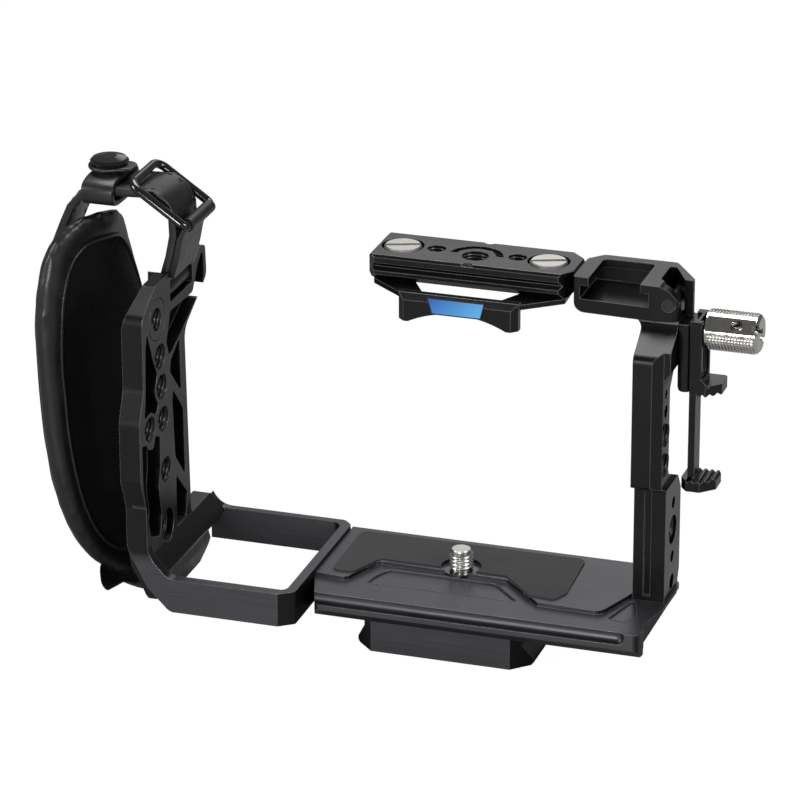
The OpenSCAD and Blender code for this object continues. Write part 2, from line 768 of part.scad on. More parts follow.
// Rounds the left end of the block where it meets its underside
module block_foot_curve() {
    outline = rounded([[block_left, top_z, 0], [block_left, block_bottom, 3],
                       [ear_x + 9.6, block_bottom, 0], [ear_x + 9.6, top_z, 0]], 6);
    plate_xz(outline, block_front - 3, block_back + 1);
}

module shoe_tenon() {
    box([block_left - tenon_len, top_mid_y - tenon_w / 2, tenon_z - tenon_h / 2],
        [block_left + 0.5, top_mid_y + tenon_w / 2, tenon_z + tenon_h / 2]);
}

// The slot for an accessory foot, open at the front and closed at the back
module cold_shoe_cut() {
    stop_y = block_back - 2.6;
    gap_stop_y = stop_y - 0.4;
    box([shoe_mid - shoe_w / 2, block_front - 3, floor_z],
        [shoe_mid + shoe_w / 2, stop_y, floor_z + shoe_slot_h + 1.4]);
    plate_xy(rounded([[shoe_mid - shoe_gap / 2, block_front - 3, 0],
                      [shoe_mid + shoe_gap / 2, block_front - 3, 0],
                      [shoe_mid + shoe_gap / 2, gap_stop_y, 1.5],
                      [shoe_mid - shoe_gap / 2, gap_stop_y, 1.5]]), floor_z, top_z + 1);
}

module neck_strap_bay() {
    plate_xy(strap_bay, block_bottom - 1, top_z + 1);
    intersection() {
        plate_xz(ear_slope, block_front - 3, block_front + 6);
        box([ear_x - 8.4, block_front - 3, block_bottom - 16], [ear_x + 5.6, block_front + 5, top_z + 2]);
    }
}

// The chamfer down the front corner of the thick middle
module boss_corner() {
    plate_xy([[boss_right - boss_chamfer, -boss_front], [boss_right - boss_chamfer, -boss_front - 1],
              [boss_right + 4, -boss_front - 1], [boss_right + 4, -boss_front + boss_chamfer],
              [boss_right, -boss_front + boss_chamfer]], boss_low - 3, block_bottom - 1.4);
}

// The groove down the front of the foot
module foot_groove() {
    left = right_in + 2.9;
    box([left, -foot_front - 1, ledge_z + 1.6], [left + 1.8, -foot_front + 0.9, boss_low - 2]);
}

module right_bracket_screws() {
    color(steel) for (y = upright_screw_y) {
        countersunk_up(upright_screw_x, y, upright_screw_d, upright_screw_head,
                       -base_h, -base_h + upright_screw_len - 0.6);
    }
}

module neck_strap_pin() {
    color(steel) rod_y(pin_x, pin_z, neck_pin_d, block_front - 0.5, block_back - 1.7);
}

// ---- Top plate --------------------------------------------------------------

top_right = block_left - top_gap;
top_left = top_right - top_len;
top_mid_x = (top_left + top_right) / 2;
top_front = top_mid_y - top_d / 2;
top_rear = top_mid_y + top_d / 2;
top_low = top_z - top_h;
coin_right = top_right - tenon_len - coin_shank_d / 2 - coin_wall;
coin_x = [coin_right - coin_pitch, coin_right];
coin_recess_d = coin_d + 1.4;
coin_recess = 2.4;
coin_head_h = 2.6;
coin_tip = top_low - wing_t - 2.4;
middle_y = top_mid_y - 2;
lock_d = 3;
lock_x = block_left - tenon_len + lock_d / 2;

module top_plate() {
    color(black) difference() {
        top_plate_body();
        top_side_groove();
        mirror_groove();
        for (x = coin_x) {
            rod_z(x, top_mid_y, coin_recess_d, top_z - coin_recess, top_z + 1);
            rod_z(x, top_mid_y, coin_shank_d + 2 * run, top_low - 1, top_z);
        }
        for (side = [-1, 1]) {
            rod_z(top_mid_x - 0.6 + side * small_pitch / 2, top_mid_y + 0.3, small_d, top_low - 1, top_z + 1);
        }
        rod_z(top_mid_x - 0.4, middle_y, middle_d, top_low - 1, top_z + 1);
        locating_arc();
        for (notch = [[top_mid_x + 0.4, top_rear], [top_mid_x - 0.6, top_front]]) {
            translate([notch[0], notch[1], top_z - 0.6]) cylinder(d = 3, h = 2);
        }
        box([top_right - tenon_len - 0.4, top_mid_y - tenon_w / 2 - seat, tenon_z - tenon_h / 2 - seat],
            [top_right + 1, top_mid_y + tenon_w / 2 + seat, tenon_z + tenon_h / 2 + seat]);
        rod_z(lock_x, top_mid_y, lock_d + 2 * seat, top_low - 1, tenon_z);
    }
}

module top_plate_body() {
    bevel = 0.7;
    under = 1.6;
    plan = [
        [top_left, top_front + top_chamfer * 0.35], [top_left + top_chamfer * 0.35, top_front],
        [top_right - top_chamfer * 0.7, top_front], [top_right, top_front + top_chamfer],
        [top_right, top_rear - top_chamfer], [top_right - top_chamfer, top_rear],
        [top_left + top_chamfer * 0.35, top_rear], [top_left, top_rear - top_chamfer * 0.35]
    ];
    side = [
        [top_front + under, top_low], [top_rear - under, top_low], [top_rear, top_low + under],
        [top_rear, top_z - bevel], [top_rear - bevel, top_z], [top_front + bevel, top_z],
        [top_front, top_z - bevel], [top_front, top_low + under]
    ];
    ends = [
        [top_left + under, top_low], [top_right - under, top_low], [top_right, top_low + under],
        [top_right, top_z - bevel], [top_right - bevel, top_z], [top_left + bevel, top_z],
        [top_left, top_z - bevel], [top_left, top_low + under]
    ];
    intersection() {
        plate_xy(plan, top_low, top_z);
        plate_yz(side, top_left - 1, top_right + 1);
        plate_xz(ends, top_front - 1, top_rear + 1);
    }
}

// The rail profile along the front side
module top_side_groove() {
    plate_yz([[top_front - 1, top_z - 4.4], [top_front, top_z - 4.4], [top_front + 1.3, top_z - 3.4],
              [top_front, top_z - 2.2], [top_front - 1, top_z - 2.2]], top_left - 1, top_right + 1);
}

module mirror_groove() {
    translate([0, 2 * top_mid_y, 0]) mirror([0, 1, 0]) top_side_groove();
}

// The curved slots that keep a mounted accessory from turning
module locating_arc() {
    arc_d = 14.8;
    slot_w = 2;
    difference() {
        rod_z(top_mid_x - 0.4, middle_y, arc_d, top_z - 1, top_z + 1);
        rod_z(top_mid_x - 0.4, middle_y, arc_d - 2 * slot_w, top_z - 2, top_z + 2);
        box([top_left, top_front - 1, top_z - 2], [top_right, middle_y + 1, top_z + 2]);
    }
}

// The grub screw that locks the tenon of the cold shoe block in the plate
module top_plate_lock_screw() {
    color(black) rod_z(lock_x, top_mid_y, lock_d, top_low + 0.2, tenon_z - tenon_h / 2 - seat / 2);
}

module coin_screw(x) {
    head_low = top_z - coin_recess + run;
    slot_w = 1.5;
    color(steel) difference() {
        translate([x, top_mid_y, 0]) rotate_extrude() polygon([
            [0, coin_tip], [coin_shank_d / 2 - 0.5, coin_tip], [coin_shank_d / 2, coin_tip + 0.5],
            [coin_shank_d / 2, head_low], [coin_d / 2, head_low],
            [coin_d / 2, head_low + coin_head_h - 0.4], [coin_d / 2 - 0.4, head_low + coin_head_h],
            [0, head_low + coin_head_h]
        ]);
        translate([x, top_mid_y, head_low + coin_head_h]) rotate([0, 0, 20])
            cube([coin_d * 2, slot_w, 2], center = true);
    }
}

module top_screw_left() {
    coin_screw(coin_x[0]);
}

module top_screw_right() {
    coin_screw(coin_x[1]);
}

// ---- Lens bracket under the top plate ---------------------------------------

bar_mid = top_mid_x - 0.5;
bar_top = top_low + 0.4;
bar_bottom = bar_top - bar_h;
arch_z = bar_top - 4.2 - arch_r;

module lens_bracket() {
    wing_low = top_low - wing_t;
    color(black) difference() {
        union() {
            lens_bar();
            plate_xy(lens_wing_plan(), wing_low, top_low);
        }
        for (x = coin_x) {
            rod_z(x, top_mid_y, coin_shank_d + 2 * run, wing_low - 1, top_low + 1);
        }
    }
}

// The two wings and the bar's root, seen from above
function lens_wing_plan() = let(
        half = bar_len / 2,
        root = -bar_front + bar_t,
        w = bar_mid
    ) rounded([
        [w - half + 1, -bar_front + 1.6, 0], [w + half - 1, -bar_front + 1.6, 0],
        [top_right - 2, top_front + 1.5, 1], [top_right - 2.6, top_mid_y + 5, 2],
        [coin_x[1] - 4, top_mid_y + 5, 2], [coin_x[1] - 4, top_front + 5, 2],
        [w + half - 6, root, 1], [w - half + 6, root, 1],
        [coin_x[0] + 4, top_front + 5, 2], [coin_x[0] + 4, top_mid_y + 5, 2],
        [top_left + 2.2, top_mid_y + 5, 2], [top_left + 1.2, top_front + 1.5, 1]
    ]);

// The front bar with the arch that follows the lens mount
module lens_bar() {
    half = bar_len / 2;
    corner = 1.7;
    plan = [
        [bar_mid - half, -bar_front + corner], [bar_mid - half + corner, -bar_front],
        [bar_mid + half - corner, -bar_front], [bar_mid + half, -bar_front + corner],
        [bar_mid + half, -bar_front + bar_t], [bar_mid - half, -bar_front + bar_t]
    ];
    side = [
        [-bar_front, bar_bottom], [-bar_front + bar_t, bar_bottom], [-bar_front + bar_t, bar_top],
        [-bar_front + 1.8, bar_top], [-bar_front, bar_top - 1.5]
    ];
    difference() {
        intersection() {
            plate_xy(plan, bar_bottom, bar_top);
            plate_yz(side, bar_mid - half - 1, bar_mid + half + 1);
        }
        rod_y(bar_mid, arch_z, 2 * arch_r, -bar_front - 1, -bar_front + bar_t + 1);
    }
}

// The blue plate on the front of the bar, left plain
module lens_bracket_badge() {
    badge_t = 0.8;
    badge = rounded([
        [bar_mid - 8, bar_top + 0.2, 0.4], [bar_mid + 8, bar_top + 0.2, 0.4],
        [bar_mid + 6.8, bar_top - 4.4, 0.4], [bar_mid - 6.6, bar_top - 4.4, 0.4]
    ]);
    color(blue) plate_xz(badge, -bar_front - badge_t, -bar_front);
}

// ---- Cable clamp ------------------------------------------------------------

flat_gap = 0.4;
stud_x = clamp_seat_x - 3.8;
base_t = 3.3;
stem_t = 1.9;
stem_w = 5.2;
stem_x = clamp_seat_x + base_t - 0.35;
channel_x = stem_x - 0.1;
jaw_x = clamp_seat_x + base_t + 0.1;
jaw_t = 3.2;
jaw_front = clamp_y - jaw_w / 2;
jaw_back = clamp_y + jaw_w / 2;
jaw_top = jaw_low + jaw_h;
knob_x = jaw_x + jaw_t + 0.1;
lower_top = jaw_low - clamp_gap;
lower_low = lower_top - foot_h;
base_low = jaw_low + 0.8;
base_high = block_bottom - 0.3;
clamp_screws = [69.6, 65.2];
clamp_screw_d = 2;
clamp_screw_head = 3.6;
clamp_screw_len = 7;

module clamp_screw_holes() {
    for (z = clamp_screws) {
        rod_x(clamp_y, z, clamp_screw_d + 2 * seat, channel_x - clamp_screw_len - 0.2, channel_x + 1);
    }
    rod_x(clamp_y, knob_z, stud_d + 2 * seat, stud_x - 0.1, channel_x + 1);
}

// The guide that is screwed to the upright: the lower jaw's stem slides in it
module clamp_base() {
    edge = 1.4;
    color(black) difference() {
        intersection() {
            plate_xy(rounded([[clamp_seat_x, jaw_front, edge], [clamp_seat_x + base_t, jaw_front, edge * 0.8],
                              [clamp_seat_x + base_t, jaw_back, 0.3], [clamp_seat_x, jaw_back, 0.3]]),
                     base_low, base_high);
            plate_xz(rounded([[clamp_seat_x, base_low, 2], [clamp_seat_x + base_t, base_low, 0],
                              [clamp_seat_x + base_t, base_high, 0], [clamp_seat_x, base_high, 0]]),
                     jaw_front - 1, jaw_back + 1);
        }
        box([channel_x, clamp_y - stem_w / 2 - run, base_low - 1],
            [clamp_seat_x + base_t + 1, clamp_y + stem_w / 2 + run, base_high + 1]);
        rod_x(clamp_y, knob_z, stud_d + 2 * seat, clamp_seat_x - 1, channel_x + 1);
        for (z = clamp_screws) {
            clamp_screw_cut(z);
        }
    }
}

// A countersunk hole for a small screw that runs along X from the right
module clamp_screw_cut(z) {
    sink = (clamp_screw_head - clamp_screw_d) / 2;
    translate([channel_x, clamp_y, z]) rotate([0, -90, 0]) rotate_extrude()
        polygon([[0, -1], [clamp_screw_head / 2 + seat, -1], [clamp_screw_head / 2 + seat, 0],
                 [clamp_screw_d / 2 + seat, sink], [clamp_screw_d / 2 + seat, base_t], [0, base_t]]);
}

module clamp_base_screws() {
    sink = (clamp_screw_head - clamp_screw_d) / 2;
    color(steel) for (z = clamp_screws) {
        translate([channel_x - 0.02, clamp_y, z]) rotate([0, -90, 0]) rotate_extrude()
            polygon([[0, 0], [clamp_screw_head / 2, 0], [clamp_screw_d / 2, sink],
                     [clamp_screw_d / 2, clamp_screw_len], [0, clamp_screw_len]]);
    }
}

module clamp_stud() {
    color(steel) rod_x(clamp_y, knob_z, stud_d, stud_x, knob_x + knob_len - 2.6);
}

module clamp_upper_jaw() {
    slot_low = jaw_low + foot_h + 1.4;
    slot_high = knob_z + stud_d / 2 + 0.1;
    track_deep = 0.9;
    color(black) difference() {
        union() {
            plate_xy(rounded([[jaw_x, jaw_front, 0.3], [jaw_x + jaw_t, jaw_front, 0.3],
                              [jaw_x + jaw_t, jaw_back, 0.3], [jaw_x, jaw_back, 0.3]]), jaw_low, jaw_top);
            jaw_foot(jaw_low, jaw_low + foot_h);
            jaw_web();
        }
        box([jaw_x - 1, clamp_y - stem_w / 2 - 2 * run, jaw_low - 1],
            [stem_x + stem_t + 0.1, clamp_y + stem_w / 2 + 2 * run, jaw_top + 1]);
        jaw_slot(slot_low, slot_high, stud_d + 0.4, jaw_x, jaw_x + jaw_t + 1);
        translate([0, 0, slot_low - 0.6])
            track_cut(jaw_w - 2.8, jaw_top - slot_low + 2, jaw_x + jaw_t - track_deep);
        jaw_teeth(jaw_low);
    }
}

// The wide track on the jaw's outer face, open at the top
module track_cut(w, h, x) {
    plate_yz(rounded([[clamp_y - w / 2, 0, 1.2], [clamp_y + w / 2, 0, 1.2], [clamp_y + w / 2, h, 0],
                      [clamp_y - w / 2, h, 0]]), x, x + 8);
}

// The slope that carries the foot under the jaw's front wall
module jaw_web() {
    plate_xz([[jaw_x + 0.5, jaw_low + foot_h - 0.5], [jaw_x + jaw_t + 2.2, jaw_low + foot_h - 0.5],
              [jaw_x + jaw_t, jaw_low + foot_h + 1.6], [jaw_x + 0.5, jaw_low + foot_h + 1.6]],
             jaw_front, jaw_front + 1.2);
}

// A foot that reaches out over a plug, with cut corners
module jaw_foot(low, high) {
    tip = jaw_x + jaw_reach;
    plate_xy([[jaw_x + 0.5, jaw_front], [tip - 3.6, jaw_front], [tip, jaw_front + 3.6],
              [tip, jaw_back - 0.6], [tip - 0.6, jaw_back], [jaw_x + 0.5, jaw_back]], low, high);
}

module jaw_slot(low, high, w, left, right) {
    box([left, clamp_y - w / 2, low + w / 2], [right, clamp_y + w / 2, high - w / 2]);
    rod_x(clamp_y, low + w / 2, w, left, right);
    rod_x(clamp_y, high - w / 2, w, left, right);
}

// Rows of small teeth that grip a plug
module jaw_teeth(z) {
    pitch = 1.7;
    tooth = 0.9;
    for (i = [0:4]) {
        x = jaw_x + jaw_reach - 1 - i * pitch;
        translate([x, jaw_front - 1, z]) rotate([0, 45, 0])
            translate([-tooth / 2, 0, -tooth / 2]) cube([tooth, jaw_w + 2, tooth]);
    }
}

module clamp_lower_jaw() {
    stem_front = clamp_y - stem_w / 2;
    color(black) difference() {
        union() {
            box([stem_x, stem_front, lower_low], [stem_x + stem_t, stem_front + stem_w, base_high]);
            lower_foot();
        }
        jaw_slot(knob_z - jaw_travel - stud_d / 2 - 0.2, knob_z + stud_d / 2 + 0.1, stud_d + 0.2,
                 stem_x - 1, stem_x + stem_t + 1);
        jaw_teeth(lower_top);
    }
}

module lower_foot() {
    left = stem_x - 1.6;
    tip = jaw_x + jaw_reach - 1;
    plate_xy([[left, jaw_front + 2.4], [left + 1.8, jaw_front], [tip - 3.6, jaw_front],
              [tip, jaw_front + 3.6], [tip, jaw_back - 0.6], [tip - 0.6, jaw_back], [left, jaw_back]],
             lower_low, lower_top);
}

// The knurled nut: flats on two sides, a cross hole and a slot across its end
module clamp_knob() {
    flat = 0.45;
    rim = 0.8;
    tilt = -38;
    hole_x = knob_len * 0.6;
    color(steel) translate([knob_x, clamp_y, knob_z]) rotate([tilt, 0, 0]) difference() {
        rotate([0, 90, 0]) rotate_extrude() polygon([
            [stud_d / 2 + run, 0], [knob_d / 2 - 0.5, 0], [knob_d / 2, 0.5],
            [knob_d / 2, knob_len - 0.7], [knob_d / 2 - 0.7, knob_len], [stud_d / 2 + run, knob_len]
        ]);
        translate([rim, -knob_d / 2 - 1, -knob_d / 2]) cube([knob_len - 2 * rim, flat + 1, knob_d]);
        translate([rim, knob_d / 2 - flat, -knob_d / 2]) cube([knob_len - 2 * rim, flat + 1, knob_d]);
        rod_y(hole_x, 0, 3.2, -knob_d, knob_d);
        translate([knob_len - 1.6, -knob_d, -0.75]) cube([3, 2 * knob_d, 1.5]);
    }
}

// ---- Hand strap -------------------------------------------------------------

strap_y = slot_front + strap_w / 2 + 0.45;
strap_front = strap_y - strap_w / 2;
strap_back = strap_y + strap_w / 2;
pad_mid_y = -2.5;
pad_mid_z = 39.8;

// The strap's middle line seen from the front, as (x, z): up from the slot,
// through the buckle and the keeper and down the outside of the pad
strap_route = [
    [-79.2, 75.6], [-78.6, 78], [-76.8, 84], [-75.6, 90], [-75.8, 95], [-77.6, 99], [-81, 101],
    [-85.6, 100.8], [-90, 100.6], [-96, 100.4], [-101.2, 98.9], [-104.4, 95], [-106.6, 90], [-109.4, 83],
    [-111.4, 74], [-112.6, 62], [-112.6, 50], [-111.6, 36], [-110, 22], [-107, 10], [-103, 2]
];

// The middle line of a bent strip, moved sideways by half its thickness
function side_line(line, off) = [
    for (i = [0:len(line) - 1])
        let(
            a = line[max(i - 1, 0)],
            b = line[min(i + 1, len(line) - 1)],
            d = unit(b - a)
        )
        line[i] + off * [-d[1], d[0]]
];

function reversed(line) = [for (i = [len(line) - 1:-1:0]) line[i]];

// A bent strip of even thickness and width
module strip(line, t, front, back) {
    plate_xz(concat(side_line(line, t / 2), reversed(side_line(line, -t / 2))), front, back);
}

module hand_strap() {
    color(leather) difference() {
        union() {
            strip(strap_route, strap_t, strap_front, strap_back);
            rod_y(anchor_x, anchor_z, anchor_d + 2 * anchor_wrap, strap_front, strap_back);
        }
        rod_y(anchor_x, anchor_z, anchor_d + 2 * seat, strap_front - 1, strap_back + 1);
    }
}

// The strap's end, folded round the right bar of the buckle and sewn to the strap
strap_fold_route = [
    [-76.3, 78.4], [-74.7, 84], [-73.7, 89], [-72.7, 92.2]
];

module strap_fold() {
    t = 1.6;
    color(leather) difference() {
        union() {
            strip(strap_fold_route, t, strap_front, strap_back);
            rod_y(buckle_right[0], buckle_right[1], wire_d + 2 * t, strap_front, strap_back);
        }
        rod_y(buckle_right[0], buckle_right[1], wire_d + 2 * seat, strap_front - 1, strap_back + 1);
    }
}

// The padded oval that lies on the back of the hand: it bulges outwards,
// its rim is drawn in and a channel runs inside the rim on both faces
module hand_pad() {
    color(leather) polyhedron(points = pad_points(), faces = pad_faces(), convexity = 4);
}

pad_around = 48;

// The shares of the oval at which rings lie, denser at the channel and the rim
pad_shares = [0.22, 0.45, 0.62, 0.7, 0.745, 0.78, 0.815, 0.86, 0.92, 0.965, 0.99, 1];
pad_rings = len(pad_shares);

// A point of the oval at share s of its size
function pad_oval(angle, s) =
    let(
        c = cos(angle),
        n = sin(angle),
        power = 2.35,
        reach = pow(pow(abs(c), power) + pow(abs(n), power), -1 / power)
    )
    s * reach * [pad_w / 2 * c, pad_len / 2 * n];

// Where the pad's middle sheet lies: nearly flat, turned in at both ends
function pad_bow(y, z) =
    let(t = z / (pad_len / 2))
    -101 - 3.8 * t + (t > 0 ? 9.6 * pow(t, 6) : 9.4 * pow(-t, 3.2)) + 0.19 * y;

// Thickness towards one face: crowned, with a channel, thin at the rim
function pad_half(s, side) =
    let(
        crown = pad_crown * (side < 0 ? 0.56 : 0.44) * sqrt(max(0, 1 - pow(s, 5))),
        channel = 1.3 * exp(-pow((s - 0.78) / 0.05, 2))
    )
    max(0.4, crown - channel);

function pad_point(i, j, side) =
    let(
        s = pad_shares[i],
        at = pad_oval(360 * j / pad_around, s)
    )
    [pad_bow(at[0], at[1]) + side * pad_half(s, side), pad_mid_y + at[0] - pad_lean(at[1]),
     pad_mid_z + at[1]];

// The pad's upper end leans towards the front
function pad_lean(z) = 4 * pow(max(0, z / (pad_len / 2)), 2);

function pad_points() = concat(
    [[pad_bow(0, 0) + pad_half(0, 1), pad_mid_y, pad_mid_z]],
    [for (i = [0:pad_rings - 1]) for (j = [0:pad_around - 1]) pad_point(i, j, 1)],
    [for (i = [pad_rings - 1:-1:0]) for (j = [0:pad_around - 1]) pad_point(i, j, -1)],
    [[pad_bow(0, 0) - pad_half(0, -1), pad_mid_y, pad_mid_z]]
);

function pad_faces() =
    let(
        n = pad_around,
        rings = 2 * pad_rings,
        last = 1 + rings * n
    )
    concat(
        [for (j = [0:n - 1]) [0, 1 + (j + 1) % n, 1 + j]],
        [for (i = [0:rings - 2]) for (j = [0:n - 1])
            [1 + i * n + j, 1 + i * n + (j + 1) % n, 1 + (i + 1) * n + (j + 1) % n]],
        [for (i = [0:rings - 2]) for (j = [0:n - 1])
            [1 + i * n + j, 1 + (i + 1) * n + (j + 1) % n, 1 + (i + 1) * n + j]],
        [for (j = [0:n - 1]) [last, 1 + (rings - 1) * n + j, 1 + (rings - 1) * n + (j + 1) % n]]
    );

// The wire buckle, a rectangle that slopes down to the cage
buckle_right = [-71.2, 93.6];
buckle_left = [-86.4, 104];

module strap_buckle() {
    long = norm(buckle_right - buckle_left);
    wide = strap_w + wire_d + 1.2;
    slope = atan2(buckle_left[1] - buckle_right[1], buckle_right[0] - buckle_left[0]);
    mid = (buckle_right + buckle_left) / 2;
    color(black) translate([mid[0], strap_y, mid[1]]) rotate([0, slope, 0]) {
        for (side = [-1, 1]) {
            translate([-long / 2, side * wide / 2, 0]) rotate([0, 90, 0]) cylinder(d = wire_d, h = long);
            translate([side * long / 2, wide / 2, 0]) rotate([90, 0, 0]) cylinder(d = wire_d, h = wide);
            translate([side * long / 2, -wide / 2, 0]) sphere(d = wire_d);
            translate([side * long / 2, wide / 2, 0]) sphere(d = wire_d);
        }
    }
}

// The leather loop that holds the strap's layers together
keeper_x = -96;
keeper_len = 9;
keeper_t = 1.6;
keeper_low = 97.6;
keeper_high = 102.2;

module strap_keeper() {
    gap_front = strap_front - 0.4;
    gap_back = strap_back + 0.4;
    color(leather) difference() {
        plate_yz(rounded([[gap_front - keeper_t, keeper_low - keeper_t, 1.6],
                          [gap_back + keeper_t, keeper_low - keeper_t, 1.6],
                          [gap_back + keeper_t, keeper_high + keeper_t, 1.6],
                          [gap_front - keeper_t, keeper_high + keeper_t, 1.6]]),
                 keeper_x - keeper_len / 2, keeper_x + keeper_len / 2);
        box([keeper_x - keeper_len, gap_front, keeper_low],
            [keeper_x + keeper_len, gap_back, keeper_high]);
    }
}

// The round stud that is riveted on top of the keeper
module strap_button() {
    color(black) translate([keeper_x, strap_y, keeper_high + keeper_t]) rotate_extrude()
        polygon([[0, 0], [4.2, 0], [4.4, 0.6], [2.6, 1], [2.6, 1.8], [4.9, 2], [5.2, 2.8],
                 [4.6, 3.5], [2, 4], [0, 4]]);
}

// The pin across the slot that the strap turns round
anchor_d = 1.6;
anchor_x = -left_out + 3;
anchor_z = slot_floor + 2.6;
anchor_wrap = 1.5;

module strap_anchor_pin() {
    color(steel) rod_y(anchor_x, anchor_z, anchor_d, slot_front - 2, slot_back + 2);
}

// The leather end below the pad, folded up outside the cage and held by a screw
lower_route = [
    [-98.6, -7], [-94.4, -11.4], [-89, -14.4], [-83.6, -15.8], [-80.4, -14.2], [-79.6, -9.8],
    [-81.2, -4.6], [-83.2, 0], [-83.7, 5], [-83.7, 15.4]
];
lower_shape = rounded([
    [strap_hole[0] - 8, 16, 4], [strap_hole[0] + 8, 16, 4], [strap_hole[0] + 8, 4, 2], [8, -0.5, 4],
    [19, -4, 4], [19, -11, 4], [8, -18, 0], [-4, -18, 0], [-12, -11.6, 3], [-24, -10.6, 3],
    [strap_hole[0] - 8, 2, 3]
]);

// Seen from above, as (x, y): the corners of the free end are rounded
lower_end = -99.2;
lower_edge = strap_hole[0] - 6.3;
lower_rear = 19.2;
lower_plan = rounded([
    [lower_end, lower_edge, 8], [lower_end, lower_rear, 8],
    [lower_end + 30, lower_rear + 10, 0], [lower_end + 30, lower_edge - 15, 0]
]);

module lower_strap() {
    color(leather) difference() {
        intersection() {
            strip(lower_route, strap_t, lower_edge - 15, lower_rear + 10);
            plate_yz(lower_shape, lower_end - 20, lower_end + 30);
            plate_xy(lower_plan, -30, 30);
        }
        rod_x(strap_hole[0], strap_hole[1], lower_screw_d + 2 * seat, -95, -70);
    }
}

lower_screw_d = 4;
lower_screw_head = 9;
lower_nut_d = strap_hole_d - 0.1;

module lower_strap_screw() {
    outer = -left_out - strap_t - 0.35;
    color(steel) translate([outer, strap_hole[0], strap_hole[1]]) rotate([0, 90, 0]) difference() {
        rotate_extrude() polygon([
            [0, -1.6], [lower_screw_head / 2 - 0.6, -1.6], [lower_screw_head / 2, -1],
            [lower_screw_head / 2, 0], [lower_screw_d / 2, 0], [lower_screw_d / 2, strap_t + 0.6],
            [lower_nut_d / 2, strap_t + 0.6], [lower_nut_d / 2, strap_t + 3.4], [0, strap_t + 3.4]
        ]);
        translate([-lower_screw_head, -0.6, -3]) cube([2 * lower_screw_head, 1.2, 2.2]);
    }
}

base_plate();
base_rubber_pad();
camera_screw();
camera_screw_clip();
quick_release_plate();
release_plate_screws();
left_bracket();
left_bracket_screws();
right_bracket();
right_bracket_screws();
neck_strap_pin();
top_plate();
top_plate_lock_screw();
top_screw_left();
top_screw_right();
lens_bracket();
lens_bracket_badge();
clamp_base();
clamp_base_screws();
clamp_stud();
clamp_upper_jaw();
clamp_lower_jaw();
clamp_knob();
hand_pad();
hand_strap();
strap_buckle();
strap_keeper();
strap_button();
strap_anchor_pin();
lower_strap();
lower_strap_screw();
strap_fold();
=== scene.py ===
"""Looks of a camera cage: finishes of its metal parts, and its leather, stitching and threads."""

import math

import bmesh
import bpy
from mathutils import Matrix, Vector
from mathutils.bvhtree import BVHTree


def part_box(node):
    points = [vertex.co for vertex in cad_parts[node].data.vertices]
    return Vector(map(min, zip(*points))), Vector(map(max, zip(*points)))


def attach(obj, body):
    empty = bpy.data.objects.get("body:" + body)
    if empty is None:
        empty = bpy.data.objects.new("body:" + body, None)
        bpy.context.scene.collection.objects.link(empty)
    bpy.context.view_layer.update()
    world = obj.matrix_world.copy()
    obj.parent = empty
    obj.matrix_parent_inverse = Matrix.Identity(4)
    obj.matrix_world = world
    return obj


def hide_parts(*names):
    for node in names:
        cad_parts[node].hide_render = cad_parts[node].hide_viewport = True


bl_info = {
    "name": "Camera cage",
    "version": (1, 0, 0),
    "blender": (4, 5, 0),
    "location": "3D View > Sidebar > Camera cage",
    "description": "Dresses the camera cage: metal finishes, hand pad, straps, threads and stage",
    "category": "Object",
}

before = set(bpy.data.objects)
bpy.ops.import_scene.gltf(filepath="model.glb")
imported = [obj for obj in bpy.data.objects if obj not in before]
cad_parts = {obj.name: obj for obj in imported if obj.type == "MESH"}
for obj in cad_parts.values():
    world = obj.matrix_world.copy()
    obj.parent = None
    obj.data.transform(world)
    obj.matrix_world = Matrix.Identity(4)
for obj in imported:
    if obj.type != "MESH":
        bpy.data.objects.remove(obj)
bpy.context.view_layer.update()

MM = 0.001
FULL_TURN = 2 * math.pi

# From here to the settings, places and sizes are in millimetres in the part's own frame

# The hand pad's oval: half sizes, middle, and the power of its rounding in the part and in the photo
PAD_HALF_W, PAD_HALF_L = 24.5, 50.5
PAD_MID_Y, PAD_MID_Z = -2.5, 39.8
CAD_POWER, PAD_POWER = 2.35, 2.9
# How far its upper end leans to the front
PAD_LEAN = 4.0
# How far the photo's pad rises above the part's at its upper end: in the middle, and per mm to the front
PAD_RISE = (2.6, 0.22)
# Where the sewn channel runs, as a share of the oval
PAD_CHANNEL = 0.86

# The knob's middle line (y, z), the way its flats are turned, and where it starts along x
KNOB_Y, KNOB_Z, KNOB_TILT, KNOB_X = 5.8, 73.9, -38.0, 64.5

# The strap's middle line seen from the front, as (x, z) in millimetres
STRAP_ROUTE = (
    (-78.6, 78), (-76.8, 84), (-75.6, 90), (-75.8, 95), (-77.6, 99), (-81, 101), (-85.6, 100.8),
    (-90, 100.6), (-96, 100.4), (-101.2, 98.9), (-104.4, 95), (-106.6, 90), (-109.4, 83),
    (-111.4, 74), (-112.6, 62), (-112.6, 50), (-111.6, 36), (-110, 22), (-107, 10),
)
STRAP_MID_Y = -4.75

# The buckle's wire: the middles of its right and left bars (x, z), its width and its thickness
BUCKLE_RIGHT, BUCKLE_LEFT, BUCKLE_WIDE, WIRE = (-71.2, 93.6), (-86.4, 104.0), 19.6, 2.4

# The strap's round end under the stud: two circles (x of the middle, radius), its bottom and its top
TAB_CIRCLES, TAB_LOW, TAB_HIGH = ((-96.0, 5.7), (-91.9, 3.6)), 104.5, 105.7

# The shallow pockets in the base's ledge: corners (x, y) with their radius, and the ledge's height
LEDGE_POCKETS = (
    ((-21.8, -15, 1.2), (-21, -10, 2), (-18.6, -4.8, 1.5), (11, -4.8, 2.5), (20, -14.4, 1.2)),
    ((45.2, -17.4, 1.2), (48.8, -3.2, 0.6), (50.6, -7.4, 3), (52.4, -13.4, 2), (50.8, -18.2, 1.5)),
)
LEDGE_Z = -1.2

